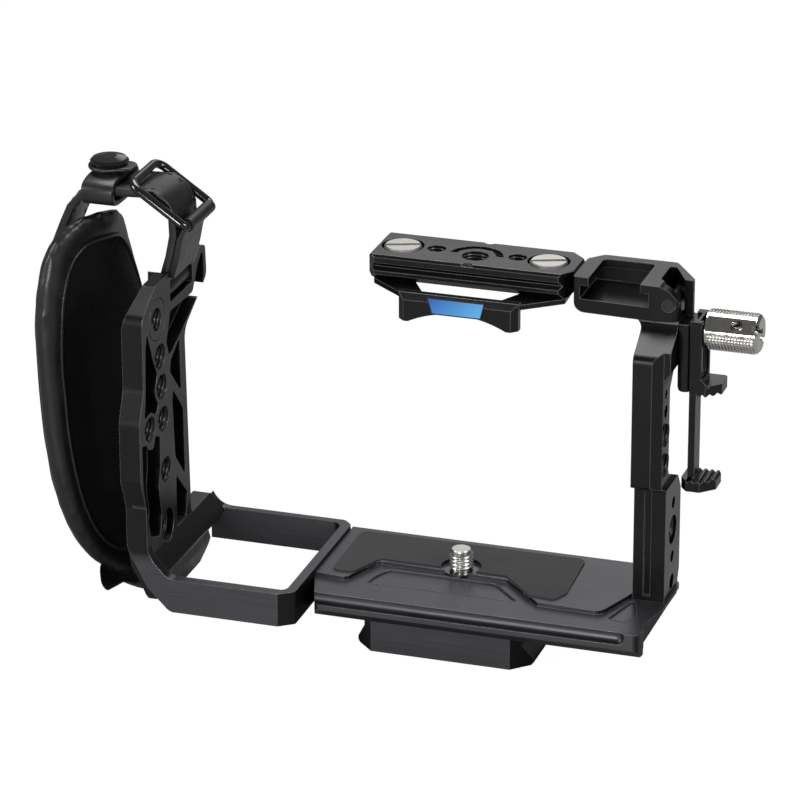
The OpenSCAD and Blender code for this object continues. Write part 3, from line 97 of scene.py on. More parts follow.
# The radius of the camera screw's thread, and of the side plate's holes for the same screw
CAMERA_THREAD = 3.175
# The tapped holes: (y, z) in the side plate, (y, z, radius) in the upright, (x, y, radius) in the top plate
SIDE_HOLES = ((-23.1, 70.4), (-21.4, 59.3), (-20.7, 50.5), (-20.1, 41.1), (-29.9, 41.8), (-19.0, 26.1))
UPRIGHT_HOLES = ((-1.8, 45.8, CAMERA_THREAD), (-1.8, 37.4, CAMERA_THREAD), (3.9, 17.0, 4.0))
TOP_HOLES = ((-10.2, 10.2, 2.5), (12.0, 10.2, 2.5), (1.1, 7.9, 3.6))
# Where the threads of each group start along the hole, and how long they are
SIDE_THREAD, UPRIGHT_THREAD, TOP_THREAD = (-82.1, 5.0), (48.7, 7.2), (79.4, 5.6)

# The height at which the badge's blue is half way between its two tones
BADGE_MID_Z = 77.6


# ---- Settings that a user would change ------------------------------------------------


def distance(name, text, default, low, high):
    """A length setting, given in millimetres and shown with enough digits for fine detail."""
    return bpy.props.FloatProperty(name=name, description=text, default=default * MM, min=low * MM,
                                   max=high * MM, subtype="DISTANCE", unit="LENGTH", precision=5)


class CageSizes(bpy.types.PropertyGroup):
    """Sizes of the fine detail."""

    thread_pitch: distance("Thread pitch", "Pitch of the camera screw's thread", 1.05, 0.5, 2)
    knurl_pitch: distance("Knurl pitch", "Distance between the knob's ridges", 0.8, 0.5, 2)
    stitch_pitch: distance("Stitch pitch", "Distance from one stitch to the next", 2.6, 1.5, 5)
    piping_radius: distance("Piping radius", "Radius of the leather piping on the hand pad", 0.5, 0.3, 1.5)
    leather_edge: distance("Leather edge", "Rounding of the straps' cut edges", 0.45, 0.1, 0.9)


def colour(name, value, text):
    """A colour setting, given as the sRGB hex value of the finish."""
    return bpy.props.StringProperty(name=name, description=text, default=value)


class CageColours(bpy.types.PropertyGroup):
    """Colours of the finishes, as sRGB hex."""

    anodised: colour("Anodised black", "#08080a", "Dyed oxide layer on the blasted parts")
    machined: colour("Machined black", "#545458", "Crests of the cutter lines under the dyed layer")
    machined_low: colour("Machined black, low", "#4b4b4f", "Bottoms of the cutter lines")
    # Painted highlight: a lighter colour laid on rounded edges in place of the light they catch
    edge_highlight: colour("Anodised edge", "#85858d", "Machined edges, where the layer catches light")
    steel: colour("Stainless steel", "#c9c7c2", "Turned stainless steel")
    oxide: colour("Black oxide", "#131315", "Small steel screws")
    leather: colour("Leather", "#0c0c0d", "Smooth black leather")
    fabric: colour("Ribbed fabric", "#050506", "Ribbed lining of the hand pad")
    rubber: colour("Rubber", "#1d1d20", "Rubber seat of the camera")
    badge_dark: colour("Badge dark blue", "#2763b4", "Upper left of the badge")
    badge_light: colour("Badge light blue", "#57a6de", "Lower right of the badge")


# ---- Materials ------------------------------------------------------------------------


def linear(hex_value):
    """An sRGB hex value as a linear colour with alpha."""
    parts = [int(hex_value[i:i + 2], 16) / 255 for i in (1, 3, 5)]
    return [c / 12.92 if c <= 0.04045 else ((c + 0.055) / 1.055) ** 2.4 for c in parts] + [1.0]


# The sockets of a Mix node that mixes colours
FACTOR, FIRST, SECOND, MIXED = 0, 6, 7, 2


def fill(tree, node, inputs):
    """Fill a node's inputs, by name or number: with a link from another node's output, or with a value."""
    for name, value in inputs.items():
        if isinstance(value, bpy.types.NodeSocket):
            tree.links.new(value, node.inputs[name])
        else:
            node.inputs[name].default_value = value


def add(tree, kind, inputs=None, **settings):
    """Add one node with its settings, and fill its inputs."""
    node = tree.nodes.new(kind)
    for name, value in settings.items():
        setattr(node, name, value)
    fill(tree, node, inputs or {})
    return node


def empty_tree(data):
    """The node tree of a material or a world, cleared."""
    data.use_nodes = True
    data.node_tree.nodes.clear()
    return data.node_tree


def blank(name):
    """An empty material with its output, its shader and the object coordinates."""
    material = bpy.data.materials.new(name)
    tree = empty_tree(material)
    shader = add(tree, "ShaderNodeBsdfPrincipled")
    add(tree, "ShaderNodeOutputMaterial", {"Surface": shader.outputs["BSDF"]})
    place = add(tree, "ShaderNodeTexCoord").outputs["Object"]
    return material, tree, shader, place


def machined_and_shade_mask(tree, flat, place, cut_below):
    """1 where a face is square to Y or Z and lies below cut_below, and 0 elsewhere; the 0 on slopes and on
    faces across X is painted shade.
    """
    way = add(tree, "ShaderNodeSeparateXYZ", {0: flat.outputs["True Normal"]})
    facing_y = add(tree, "ShaderNodeMath", {0: way.outputs["Y"]}, operation="ABSOLUTE")
    facing_z = add(tree, "ShaderNodeMath", {0: way.outputs["Z"]}, operation="ABSOLUTE")
    square = add(tree, "ShaderNodeMath", {0: facing_y.outputs["Value"], 1: facing_z.outputs["Value"]},
                 operation="MAXIMUM")
    mask = add(tree, "ShaderNodeMapRange",
               {"Value": square.outputs["Value"], "From Min": 0.85, "From Max": 0.97}).outputs["Result"]
    if cut_below is None:
        return mask
    # It fades out over the 3 mm above
    height = add(tree, "ShaderNodeSeparateXYZ", {0: place})
    low = add(tree, "ShaderNodeMapRange",
              {"Value": height.outputs["Z"], "From Min": cut_below + 3 * MM, "From Max": cut_below})
    return add(tree, "ShaderNodeMath", {0: mask, 1: low.outputs["Result"]},
               operation="MULTIPLY").outputs["Value"]


def anodised_aluminium(colours, name, brushed=False, roughness=0.25, cut_below=None):
    """Aluminium under a dyed oxide layer: deep black, with a highlight painted on its edges.

    Blasted faces have a grain of about 0.12 mm. Brushed faces show cutter lines along X, 0.35 mm apart
    with finer ones between. Their slopes and their faces across X are kept darker as painted shade, and
    all that lies above cut_below stays darker too, as the blasted finish.
    """
    material, tree, shader, place = blank(name)
    # Edges are where the normal of a 0.3 mm rounding turns away from the face's own; a highlight is painted
    # into the colour there
    flat = add(tree, "ShaderNodeNewGeometry")
    rounded = add(tree, "ShaderNodeBevel", {"Radius": 0.3 * MM}, samples=4)
    facing = add(tree, "ShaderNodeVectorMath",
                 {0: rounded.outputs["Normal"], 1: flat.outputs["True Normal"]}, operation="DOT_PRODUCT")
    edge = add(tree, "ShaderNodeMapRange",
               {"Value": facing.outputs["Value"], "From Min": 0.99, "From Max": 0.86, "To Max": 0.7})
    tone = add(tree, "ShaderNodeMix",
               {FACTOR: edge.outputs["Result"], FIRST: linear(colours.anodised),
                SECOND: linear(colours.edge_highlight)}, data_type="RGBA")
    size = 0.35 * MM if brushed else 0.12 * MM
    stretch = add(tree, "ShaderNodeMapping",
                  {"Vector": place, "Scale": (1 / (30 * MM) if brushed else 1 / size, 1 / size, 1 / size)})
    marks = add(tree, "ShaderNodeTexNoise",
                {"Vector": stretch.outputs["Vector"], "Scale": 1.0, "Detail": 4.0, "Roughness": 0.65})
    bump = add(tree, "ShaderNodeBump",
               {"Height": marks.outputs["Fac"], "Normal": rounded.outputs["Normal"], "Strength": 0.05,
                "Distance": 0.05 * MM})
    cloud = add(tree, "ShaderNodeTexNoise", {"Vector": place, "Scale": 1 / (22 * MM), "Detail": 3.0})
    rough = add(tree, "ShaderNodeMapRange",
                {"Value": cloud.outputs["Fac"], "From Min": 0.3, "From Max": 0.7,
                 "To Min": roughness - 0.03, "To Max": roughness + 0.05})
    metallic, specular = 0.1, 0.38
    if brushed:
        # Faces square to Y or Z take the lighter machined tone; slopes and faces across X keep the dark
        # tone as painted shade
        machined_and_shade = machined_and_shade_mask(tree, flat, place, cut_below)
        crest = add(tree, "ShaderNodeMapRange",
                    {"Value": marks.outputs["Fac"], "From Min": 0.35, "From Max": 0.65})
        lines = add(tree, "ShaderNodeMix",
                    {FACTOR: crest.outputs["Result"], FIRST: linear(colours.machined_low),
                     SECOND: linear(colours.machined)}, data_type="RGBA")
        # Painted highlight on the edges, laid over the cutter lines as well
        bright = add(tree, "ShaderNodeMix",
                     {FACTOR: edge.outputs["Result"], FIRST: lines.outputs[MIXED],
                      SECOND: linear(colours.edge_highlight)}, data_type="RGBA")
        tone = add(tree, "ShaderNodeMix",
                   {FACTOR: machined_and_shade, FIRST: tone.outputs[MIXED], SECOND: bright.outputs[MIXED]},
                   data_type="RGBA")
        metallic = add(tree, "ShaderNodeMapRange",
                       {"Value": machined_and_shade, "To Min": 0.4, "To Max": 0.8}).outputs["Result"]
        specular = 0.5
    fill(tree, shader, {"Base Color": tone.outputs[MIXED], "Metallic": metallic,
                        "Specular IOR Level": specular, "Roughness": rough.outputs["Result"],
                        "Normal": bump.outputs["Normal"]})
    return material


def turned_steel(colours, name, roughness=0.3, relief=0.12):
    """Stainless steel off the lathe: bright, with tool marks about 0.15 mm apart, or polished."""
    material, tree, shader, place = blank(name)
    lines = add(tree, "ShaderNodeTexNoise", {"Vector": place, "Scale": 1 / (0.15 * MM), "Detail": 2.0})
    bump = add(tree, "ShaderNodeBump",
               {"Height": lines.outputs["Fac"], "Strength": relief, "Distance": 0.03 * MM})
    wear = add(tree, "ShaderNodeTexNoise", {"Vector": place, "Scale": 1 / (2.5 * MM), "Detail": 4.0})
    rough = add(tree, "ShaderNodeMapRange",
                {"Value": wear.outputs["Fac"], "From Min": 0.3, "From Max": 0.7,
                 "To Min": roughness - 0.05, "To Max": roughness + 0.1})
    fill(tree, shader, {"Base Color": linear(colours.steel), "Metallic": 1.0,
                        "Roughness": rough.outputs["Result"], "Normal": bump.outputs["Normal"]})
    return material


def black_oxide(colours, name, roughness=0.3):
    """Black oxide or gloss black coating on small steel parts and wire."""
    material, tree, shader, place = blank(name)
    skin = add(tree, "ShaderNodeTexNoise", {"Vector": place, "Scale": 1 / (0.6 * MM), "Detail": 3.0})
    bump = add(tree, "ShaderNodeBump",
               {"Height": skin.outputs["Fac"], "Strength": 0.15, "Distance": 0.03 * MM})
    rough = add(tree, "ShaderNodeMapRange",
                {"Value": skin.outputs["Fac"], "From Min": 0.3, "From Max": 0.7,
                 "To Min": roughness - 0.06, "To Max": roughness + 0.08})
    fill(tree, shader, {"Base Color": linear(colours.oxide), "Metallic": 0.2, "Coat Weight": 0.5,
                        "Coat Roughness": 0.15, "Roughness": rough.outputs["Result"],
                        "Normal": bump.outputs["Normal"]})
    return material


def smooth_leather(colours, name):
    """Finished leather: pebbles about 0.7 mm across under a thin coat, with broad soft creases."""
    material, tree, shader, place = blank(name)
    pebble = add(tree, "ShaderNodeTexVoronoi", {"Vector": place, "Scale": 1 / (0.7 * MM)},
                 feature="SMOOTH_F1")
    crease = add(tree, "ShaderNodeTexNoise", {"Vector": place, "Scale": 1 / (5 * MM), "Detail": 4.0})
    total = add(tree, "ShaderNodeMath",
                {0: crease.outputs["Fac"], 1: 1.2, 2: pebble.outputs["Distance"]},
                operation="MULTIPLY_ADD")
    bump = add(tree, "ShaderNodeBump",
               {"Height": total.outputs["Value"], "Strength": 0.35, "Distance": 0.09 * MM})
    rough = add(tree, "ShaderNodeMapRange",
                {"Value": crease.outputs["Fac"], "From Min": 0.3, "From Max": 0.7,
                 "To Min": 0.4, "To Max": 0.54})
    fill(tree, shader, {"Base Color": linear(colours.leather), "Specular IOR Level": 0.35,
                        "Coat Weight": 0.25, "Coat Roughness": 0.25, "Sheen Weight": 0.01,
                        "Sheen Roughness": 0.4, "Roughness": rough.outputs["Result"],
                        "Normal": bump.outputs["Normal"]})
    return material


def ribbed_fabric(colours, name):
    """Ribbed knit lining: ribs 0.7 mm apart that rise towards the front, and a fine weave across them."""
    material, tree, shader, place = blank(name)
    turned = add(tree, "ShaderNodeMapping", {"Vector": place, "Rotation": (math.radians(15), 0, 0)})
    # A band repeats every 2 pi / (20 * scale) of its coordinate
    rib = add(tree, "ShaderNodeTexWave",
              {"Vector": turned.outputs["Vector"], "Scale": FULL_TURN / (20 * 0.7 * MM),
               "Distortion": 0.6}, bands_direction="Z")
    weave = add(tree, "ShaderNodeTexWave",
                {"Vector": turned.outputs["Vector"], "Scale": FULL_TURN / (20 * 0.5 * MM)},
                bands_direction="Y")
    total = add(tree, "ShaderNodeMath", {0: weave.outputs["Fac"], 1: 0.35, 2: rib.outputs["Fac"]},
                operation="MULTIPLY_ADD")
    bump = add(tree, "ShaderNodeBump",
               {"Height": total.outputs["Value"], "Strength": 0.7, "Distance": 0.14 * MM})
    fill(tree, shader, {"Base Color": linear(colours.fabric), "Roughness": 0.9,
                        "Specular IOR Level": 0.12, "Sheen Weight": 0.02, "Sheen Roughness": 0.5,
                        "Normal": bump.outputs["Normal"]})
    return material


def moulded_rubber(colours, name):
    """Calendered rubber sheet: matt, with a grain of about 0.3 mm."""
    material, tree, shader, place = blank(name)
    grain = add(tree, "ShaderNodeTexNoise", {"Vector": place, "Scale": 1 / (0.3 * MM), "Detail": 3.0})
    bump = add(tree, "ShaderNodeBump",
               {"Height": grain.outputs["Fac"], "Strength": 0.5, "Distance": 0.05 * MM})
    rough = add(tree, "ShaderNodeMapRange",
                {"Value": grain.outputs["Fac"], "From Min": 0.3, "From Max": 0.7,
                 "To Min": 0.62, "To Max": 0.75})
    fill(tree, shader, {"Base Color": linear(colours.rubber), "Roughness": rough.outputs["Result"],
                        "Normal": bump.outputs["Normal"]})
    return material


def blue_anodised(colours, name):
    """Blue anodised sheet, deeper at its upper left than at its lower right."""
    material, tree, shader, place = blank(name)
    low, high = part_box("lens_bracket_badge")
    # The tone runs along X and, more steeply, down Z
    slope = 1.2
    at = add(tree, "ShaderNodeSeparateXYZ", {"Vector": place})
    along_x = add(tree, "ShaderNodeMath", {0: at.outputs["Z"], 1: -slope, 2: at.outputs["X"]},
                  operation="MULTIPLY_ADD")
    fade = add(tree, "ShaderNodeMapRange",
               {"Value": along_x.outputs["Value"], "From Min": low.x - slope * BADGE_MID_Z * MM,
                "From Max": high.x - slope * BADGE_MID_Z * MM})
    tone = add(tree, "ShaderNodeMix",
               {FACTOR: fade.outputs["Result"], FIRST: linear(colours.badge_dark),
                SECOND: linear(colours.badge_light)}, data_type="RGBA")
    fill(tree, shader, {"Base Color": tone.outputs[MIXED], "Metallic": 0.2, "Roughness": 0.3,
                        "Coat Weight": 0.3, "Coat Roughness": 0.1})
    return material


# Each finish: its maker and the settings that differ from the maker's own
FINISHES = {
    "black_anodised_blasted": (anodised_aluminium, {}),
    "black_anodised_machined": (anodised_aluminium, {"brushed": True, "roughness": 0.36}),
    "black_anodised_part_machined": (anodised_aluminium,
                                     {"brushed": True, "roughness": 0.36, "cut_below": 5 * MM}),
    "turned_stainless_steel": (turned_steel, {}),
    "polished_stainless_steel": (turned_steel, {"roughness": 0.13, "relief": 0.02}),
    "black_oxide_steel": (black_oxide, {}),
    "gloss_black_wire": (black_oxide, {"roughness": 0.16}),
    "smooth_black_leather": (smooth_leather, {}),
    "ribbed_black_fabric": (ribbed_fabric, {}),
    "calendered_rubber": (moulded_rubber, {}),
    "blue_anodised_sheet": (blue_anodised, {}),
}


def finish(name):
    """One of the finishes, made when it is first asked for."""
    known = bpy.data.materials.get(name)
    if known:
        return known
    maker, settings = FINISHES[name]
    return maker(bpy.context.scene.cage_colours, name, **settings)


def dress(obj, *names):
    """Give an object its finishes, in the order of its material slots, and keep each face's slot."""
    slots = [face.material_index for face in obj.data.polygons]
    obj.data.materials.clear()
    for name in names:
        obj.data.materials.append(finish(name))
    if len(names) > 1:
        obj.data.polygons.foreach_set("material_index", slots)


# ---- Making pieces --------------------------------------------------------------------


def new_piece(name, mesh_maker, body, slot, *finishes):
    """Make a mesh object at the origin, let it ride on a body and give it its finish."""
    mesh = bpy.data.meshes.new(name)
    bm = bmesh.new()
    mesh_maker(bm)
    bm.normal_update()
    bm.to_mesh(mesh)
    bm.free()
    obj = bpy.data.objects.new(name, mesh)
    bpy.context.scene.collection.objects.link(obj)
    dress(obj, *finishes)
    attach(obj, body)
    return obj


def smooth_sides(bm, sharp):
    """Shade smooth, with a hard edge where two faces meet at more than sharp degrees."""
    for face in bm.faces:
        face.smooth = True
    for edge in bm.edges:
        edge.smooth = not (edge.is_manifold and edge.calc_face_angle(0) > math.radians(sharp))


def node_copy(bm, node):
    """Start from a merged copy of a CAD node's mesh."""
    bm.from_mesh(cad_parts[node].data)
    bmesh.ops.remove_doubles(bm, verts=bm.verts, dist=2e-6)
    bmesh.ops.dissolve_limit(bm, angle_limit=math.radians(0.6), verts=bm.verts, edges=bm.edges)
    bmesh.ops.recalc_face_normals(bm, faces=bm.faces)


def round_edges(bm, steep, offset):
    """Round each edge where two faces meet at more than steep degrees, as cut leather's are."""
    edges = [e for e in bm.edges if e.is_manifold and e.calc_face_angle(0) > math.radians(steep)]
    bmesh.ops.bevel(bm, geom=edges, offset=offset, affect="EDGES", segments=3, profile=0.5, material=-1,
                    clamp_overlap=True)
    smooth_sides(bm, 60)


def rounded_copy(node, offset):
    """A maker of a node's copy, with its steep edges rounded."""
    def maker(bm):
        node_copy(bm, node)
        round_edges(bm, 40, offset)
    return maker


def turn_outward(bm, axis, inside=False):
    """Turn the faces of an open skin away from the axis through the origin, or towards it."""
    bm.normal_update()
    outward = 0.0
    for face in bm.faces:
        middle = face.calc_center_median()
        outward += face.normal.dot(middle - axis * middle.dot(axis))
    if (outward < 0) != inside:
        bmesh.ops.reverse_faces(bm, faces=bm.faces)


def skin_rings(bm, rings):
    """Skin a closed chain of rings with smooth faces, point by point, as two rings may share a plane."""
    loops = [[bm.verts.new(at) for at in ring] for ring in rings]
    for a, b in zip(loops, loops[1:] + loops[:1]):
        for corners in zip(a, a[1:] + a[:1], b[1:] + b[:1], b):
            bm.faces.new(corners).smooth = True
    bmesh.ops.recalc_face_normals(bm, faces=bm.faces)


def circle(count):
    """The cosines and sines of the corners of a round of count sides."""
    return [(math.cos(FULL_TURN * i / count), math.sin(FULL_TURN * i / count)) for i in range(count)]


def thread_maker(root, crest, pitch, length, place, inside=False):
    """A maker of a screw thread along the local Z axis: one ridge that is spun and raised."""
    # Steps in a turn, and how deep the ridge's foot is sunk
    steps, sunk = 36, 0.05 * MM
    # Where its crest starts and ends and where its foot ends, as shares of the pitch
    crest_from, crest_to, foot_to = 0.38, 0.52, 0.9

    def maker(bm):
        foot = root + sunk if inside else root - sunk
        profile = ((foot, 0.0), (crest, crest_from * pitch), (crest, crest_to * pitch),
                   (foot, foot_to * pitch))
        verts = [bm.verts.new((radius, 0, z)) for radius, z in profile]
        edges = [bm.edges.new(pair) for pair in zip(verts, verts[1:])]
        total = round(steps * (length / pitch if inside else length / pitch - foot_to))
        bmesh.ops.spin(bm, geom=verts + edges, cent=(0, 0, 0), axis=(0, 0, 1), steps=total,
                       dvec=(0, 0, pitch / steps), angle=FULL_TURN * total / steps, use_merge=False)
        bmesh.ops.remove_doubles(bm, verts=bm.verts, dist=1e-7)
        bmesh.ops.recalc_face_normals(bm, faces=bm.faces)
        # The ridge is open at its back, so its faces are turned to the side that shows
        turn_outward(bm, Vector((0, 0, 1)), inside)
        for face in bm.faces:
            face.smooth = True
        bmesh.ops.transform(bm, matrix=place, verts=bm.verts)
    return maker


def along(axis, at):
    """The matrix that carries the local Z axis to a world axis through a point in millimetres."""
    turn = Vector((0, 0, 1)).rotation_difference(Vector(axis)).to_matrix().to_4x4()
    return Matrix.Translation(Vector(at) * MM) @ turn


def joined(*makers):
    """One maker that runs several, each into its own mesh, and joins them."""
    def maker(bm):
        for each in makers:
            part = bmesh.new()
            each(part)
            mesh = bpy.data.meshes.new("part")
            part.to_mesh(mesh)
            part.free()
            bm.from_mesh(mesh)
            bpy.data.meshes.remove(mesh)
    return maker


# ---- Operators: one for each piece or group of like pieces ------------------------------

NODE_FINISHES = {
    "black_anodised_blasted": ("right_bracket", "top_plate", "lens_bracket", "clamp_base",
                               "clamp_upper_jaw", "clamp_lower_jaw"),
    "black_anodised_machined": ("base_plate", "quick_release_plate"),
    "black_anodised_part_machined": ("left_bracket",),
    "turned_stainless_steel": ("top_screw_left", "top_screw_right", "clamp_stud", "strap_anchor_pin"),
    "polished_stainless_steel": ("clamp_knob",),
    "black_oxide_steel": ("camera_screw_clip", "release_plate_screws", "left_bracket_screws",
                          "right_bracket_screws", "top_plate_lock_screw", "clamp_base_screws",
                          "lower_strap_screw", "neck_strap_pin"),
    "gloss_black_wire": ("strap_button",),
    "calendered_rubber": ("base_rubber_pad",),
}


class CAGE_OT_finishes(bpy.types.Operator):
    """Give every rigid part its finish"""

    bl_idname = "cage.finishes"
    bl_label = "Metal and rubber finishes"

    def execute(self, context):
        for name, nodes in NODE_FINISHES.items():
            for node in nodes:
                dress(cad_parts[node], name)
        return {"FINISHED"}


class CAGE_OT_camera_screw(bpy.types.Operator):
    """Cut the thread of the camera screw"""

    bl_idname = "cage.camera_screw"
    bl_label = "Camera screw"

    def execute(self, context):
        pitch = context.scene.cage_sizes.thread_pitch
        crest, root = CAMERA_THREAD * MM, 2.62 * MM
        low, high = -0.7 * MM, 4.95 * MM
        # Above this height the screw is turned down to the thread's root
        neck = -0.6 * MM

        def core(bm):
            node_copy(bm, "camera_screw")
            for vert in bm.verts:
                radius = math.hypot(vert.co.x, vert.co.y)
                if vert.co.z > neck and radius > root:
                    vert.co.x *= root / radius
                    vert.co.y *= root / radius
            smooth_sides(bm, 30)

        thread = thread_maker(root, crest, pitch, high - low, Matrix.Translation((0, 0, low)))
        obj = new_piece("camera_screw_threaded", joined(core, thread), "screw", "steel",
                        "turned_stainless_steel")
        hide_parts("camera_screw")
        return {"FINISHED"}


class CAGE_OT_hole_threads(bpy.types.Operator):
    """Cut the threads inside the accessory holes"""

    bl_idname = "cage.hole_threads"
    bl_label = "Threads in the holes"

    def execute(self, context):
        pitch = context.scene.cage_sizes.thread_pitch
        x_axis, z_axis = (1, 0, 0), (0, 0, 1)

        def tapped(axis, at, radius, depth, ridge=0.22, share=1.0):
            """A maker of one hole's thread: sizes in mm, the pitch as a share of the camera screw's."""
            return thread_maker(radius * MM, radius * MM - ridge * MM, share * pitch, depth * MM,
                                along(axis, at), inside=True)

        start, depth = SIDE_THREAD
        makers = [tapped(x_axis, (start, y, z), CAMERA_THREAD, depth) for y, z in SIDE_HOLES]
        start, depth = UPRIGHT_THREAD
        makers += [tapped(x_axis, (start, y, z), radius, depth) for y, z, radius in UPRIGHT_HOLES]
        start, depth = TOP_THREAD
        makers += [tapped(z_axis, (x, y, start), radius, depth, ridge=0.26, share=0.8)
                   for x, y, radius in TOP_HOLES]
        new_piece("accessory_hole_threads", joined(*makers), "cage", "black_aluminium",
                  "black_anodised_blasted")
        return {"FINISHED"}


class CAGE_OT_knurl(bpy.types.Operator):
    """Roll the diamond knurl between the knob's flats"""

    bl_idname = "cage.knurl"
    bl_label = "Knob knurl"

    def execute(self, context):
        pitch = context.scene.cage_sizes.knurl_pitch
        radius, tooth, sunk = 5.2 * MM, 0.26 * MM, 0.05 * MM
        half_arc = math.radians(62)
        # It stops short of both ends of the knob
        low, high = KNOB_X + 0.9, KNOB_X + 13.4
        around = 2 * int(2 * half_arc * radius / pitch)
        steps = 2 * int((high - low) * MM / pitch)

        def band(middle):
            def maker(bm):
                bmesh.ops.create_grid(bm, x_segments=steps, y_segments=around, size=1.0)
                for vert in bm.verts:
                    across = round((vert.co.x + 1) / 2 * steps)
                    turn = round((vert.co.y + 1) / 2 * around)
                    inner = 0 < across < steps and 0 < turn < around
                    lift = tooth if inner and (across + turn) % 2 == 0 and across % 2 else 0.0
                    angle = middle + half_arc * vert.co.y
                    reach = radius + (lift if inner else -sunk)
                    vert.co = ((low + (high - low) * (vert.co.x + 1) / 2) * MM,
                               -reach * math.sin(angle), reach * math.cos(angle))
                bmesh.ops.triangulate(bm, faces=bm.faces)
                turn_outward(bm, Vector((1, 0, 0)))
                place = Matrix.Translation(Vector((0, KNOB_Y, KNOB_Z)) * MM)
                turn_flats = Matrix.Rotation(math.radians(KNOB_TILT), 4, "X")
                bmesh.ops.transform(bm, matrix=place @ turn_flats, verts=bm.verts)
            return maker

        new_piece("knob_knurl", joined(band(0.0), band(math.pi)), "knob", "steel", "turned_stainless_steel")
        return {"FINISHED"}


class CAGE_OT_pocket_lines(bpy.types.Operator):
    """Draw the broken edge round the shallow pockets of the ledge as a thin dark cord: painted shade of the
    pockets' walls
    """

    bl_idname = "cage.pocket_lines"
    bl_label = "Pocket edges"

    def execute(self, context):
        radius, around = 0.16 * MM, circle(8)

        def maker(bm):
            for corners in LEDGE_POCKETS:
                line = []
                for i, (x, y, bend) in enumerate(corners):
                    at = Vector((x, y))
                    before = (Vector(corners[i - 1][:2]) - at).normalized() * bend
                    after = (Vector(corners[(i + 1) % len(corners)][:2]) - at).normalized() * bend
                    for t in (0, 0.25, 0.5, 0.75, 1):
                        line.append(at + before * (1 - t) ** 2 + after * t ** 2)
                rings = []
                for i, at in enumerate(line):
                    way = (line[(i + 1) % len(line)] - line[i - 1]).normalized()
                    rings.append([(at.x * MM + way.y * radius * c, at.y * MM - way.x * radius * c,
                                   LEDGE_Z * MM + radius * s) for c, s in around])
                skin_rings(bm, rings)

        # The cord takes the dark blasted tone, as painted shade where the pocket's wall lies in shadow
        new_piece("ledge_pocket_shade_lines", maker, "cage", "black_aluminium", "black_anodised_blasted")
        return {"FINISHED"}


class CAGE_OT_badge(bpy.types.Operator):
    """Make the plain blue badge with its dark border"""

    bl_idname = "cage.badge"
    bl_label = "Blue badge"

    def execute(self, context):
        border = 0.35 * MM

        def maker(bm):
            node_copy(bm, "lens_bracket_badge")
            front = min(bm.faces, key=lambda f: f.normal.y)
            bmesh.ops.inset_individual(bm, faces=[front], thickness=border, depth=0.0)
            for face in bm.faces:
                face.material_index = 1 if face == front else 0

        obj = new_piece("badge_plain", maker, "cage", "blue_badge", "black_oxide_steel",
                        "blue_anodised_sheet")
        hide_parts("lens_bracket_badge")
        return {"FINISHED"}


def oval_size(a, b, power):
    """The size of the oval of that power on which the point (a, b) lies."""
    return (abs(a) ** power + abs(b) ** power) ** (1 / power)


def pad_point(across, up):
    """The (y, z) in metres of a point of the plain oval, moved as the photo's pad leans and rises."""
    high = max(0.0, up / PAD_HALF_L) ** 2
    rise = high * (PAD_RISE[0] - PAD_RISE[1] * across)
    return (PAD_MID_Y + across - PAD_LEAN * high) * MM, (PAD_MID_Z + up + rise) * MM


def pad_share(y, z):
    """How far out on the pad's oval a point lies, from 0 in the middle to 1 at the rim."""
    up = z / MM - PAD_MID_Z
    # How far pad_point raised it depends on where it was, so this closes in on that in a few rounds
    for _ in range(3):
        high = max(0.0, up / PAD_HALF_L) ** 2
        across = y / MM - PAD_MID_Y + PAD_LEAN * high
        up = z / MM - PAD_MID_Z - high * (PAD_RISE[0] - PAD_RISE[1] * across)
    across = y / MM - PAD_MID_Y + PAD_LEAN * max(0.0, up / PAD_HALF_L) ** 2
    return oval_size(across / PAD_HALF_W, up / PAD_HALF_L, PAD_POWER)


def settle(obj):
    """Write the evaluated mesh into the object and drop its modifiers."""
    graph = bpy.context.evaluated_depsgraph_get()
    graph.update()
    mesh = bpy.data.meshes.new_from_object(obj.evaluated_get(graph))
    obj.modifiers.clear()
    obj.data = mesh


def swell(obj, cap):
    """Inflate a closed skin with Cloth and its inner pressure; no point moves more than cap."""
    start = [v.co.copy() for v in obj.data.vertices]
    cloth = obj.modifiers.new("Cloth", "CLOTH")
    cloth.settings.use_pressure = True
    cloth.settings.uniform_pressure_force = 4.0
    cloth.settings.mass = 0.2
    cloth.settings.tension_stiffness = 40
    cloth.settings.compression_stiffness = 40
    cloth.settings.effector_weights.gravity = 0
    frames = 20
    for step in range(1, frames + 1):
        bpy.context.scene.frame_set(step)
    settle(obj)
    bpy.context.scene.frame_set(1)
    for vert, before in zip(obj.data.vertices, start):
        moved = vert.co - before
        if moved.length > cap:
            vert.co = before + moved.normalized() * cap


def cord_maker(points, radius):
    """A maker of a round cord that closes through a list of points."""
    def maker(bm):
        curve = bpy.data.curves.new("cord", "CURVE")
        curve.dimensions = "3D"
        curve.bevel_depth = radius
        curve.bevel_resolution = 3
        line = curve.splines.new("POLY")
        line.points.add(len(points) - 1)
        for point, at in zip(line.points, points):
            point.co = (*at, 1)
        line.use_cyclic_u = True
        line.use_smooth = True
        cord = bpy.data.objects.new("cord", curve)
        bpy.context.scene.collection.objects.link(cord)
        graph = bpy.context.evaluated_depsgraph_get()
        mesh = bpy.data.meshes.new_from_object(cord.evaluated_get(graph))
        bpy.data.objects.remove(cord)
        bm.from_mesh(mesh)
        bpy.data.meshes.remove(mesh)
    return maker


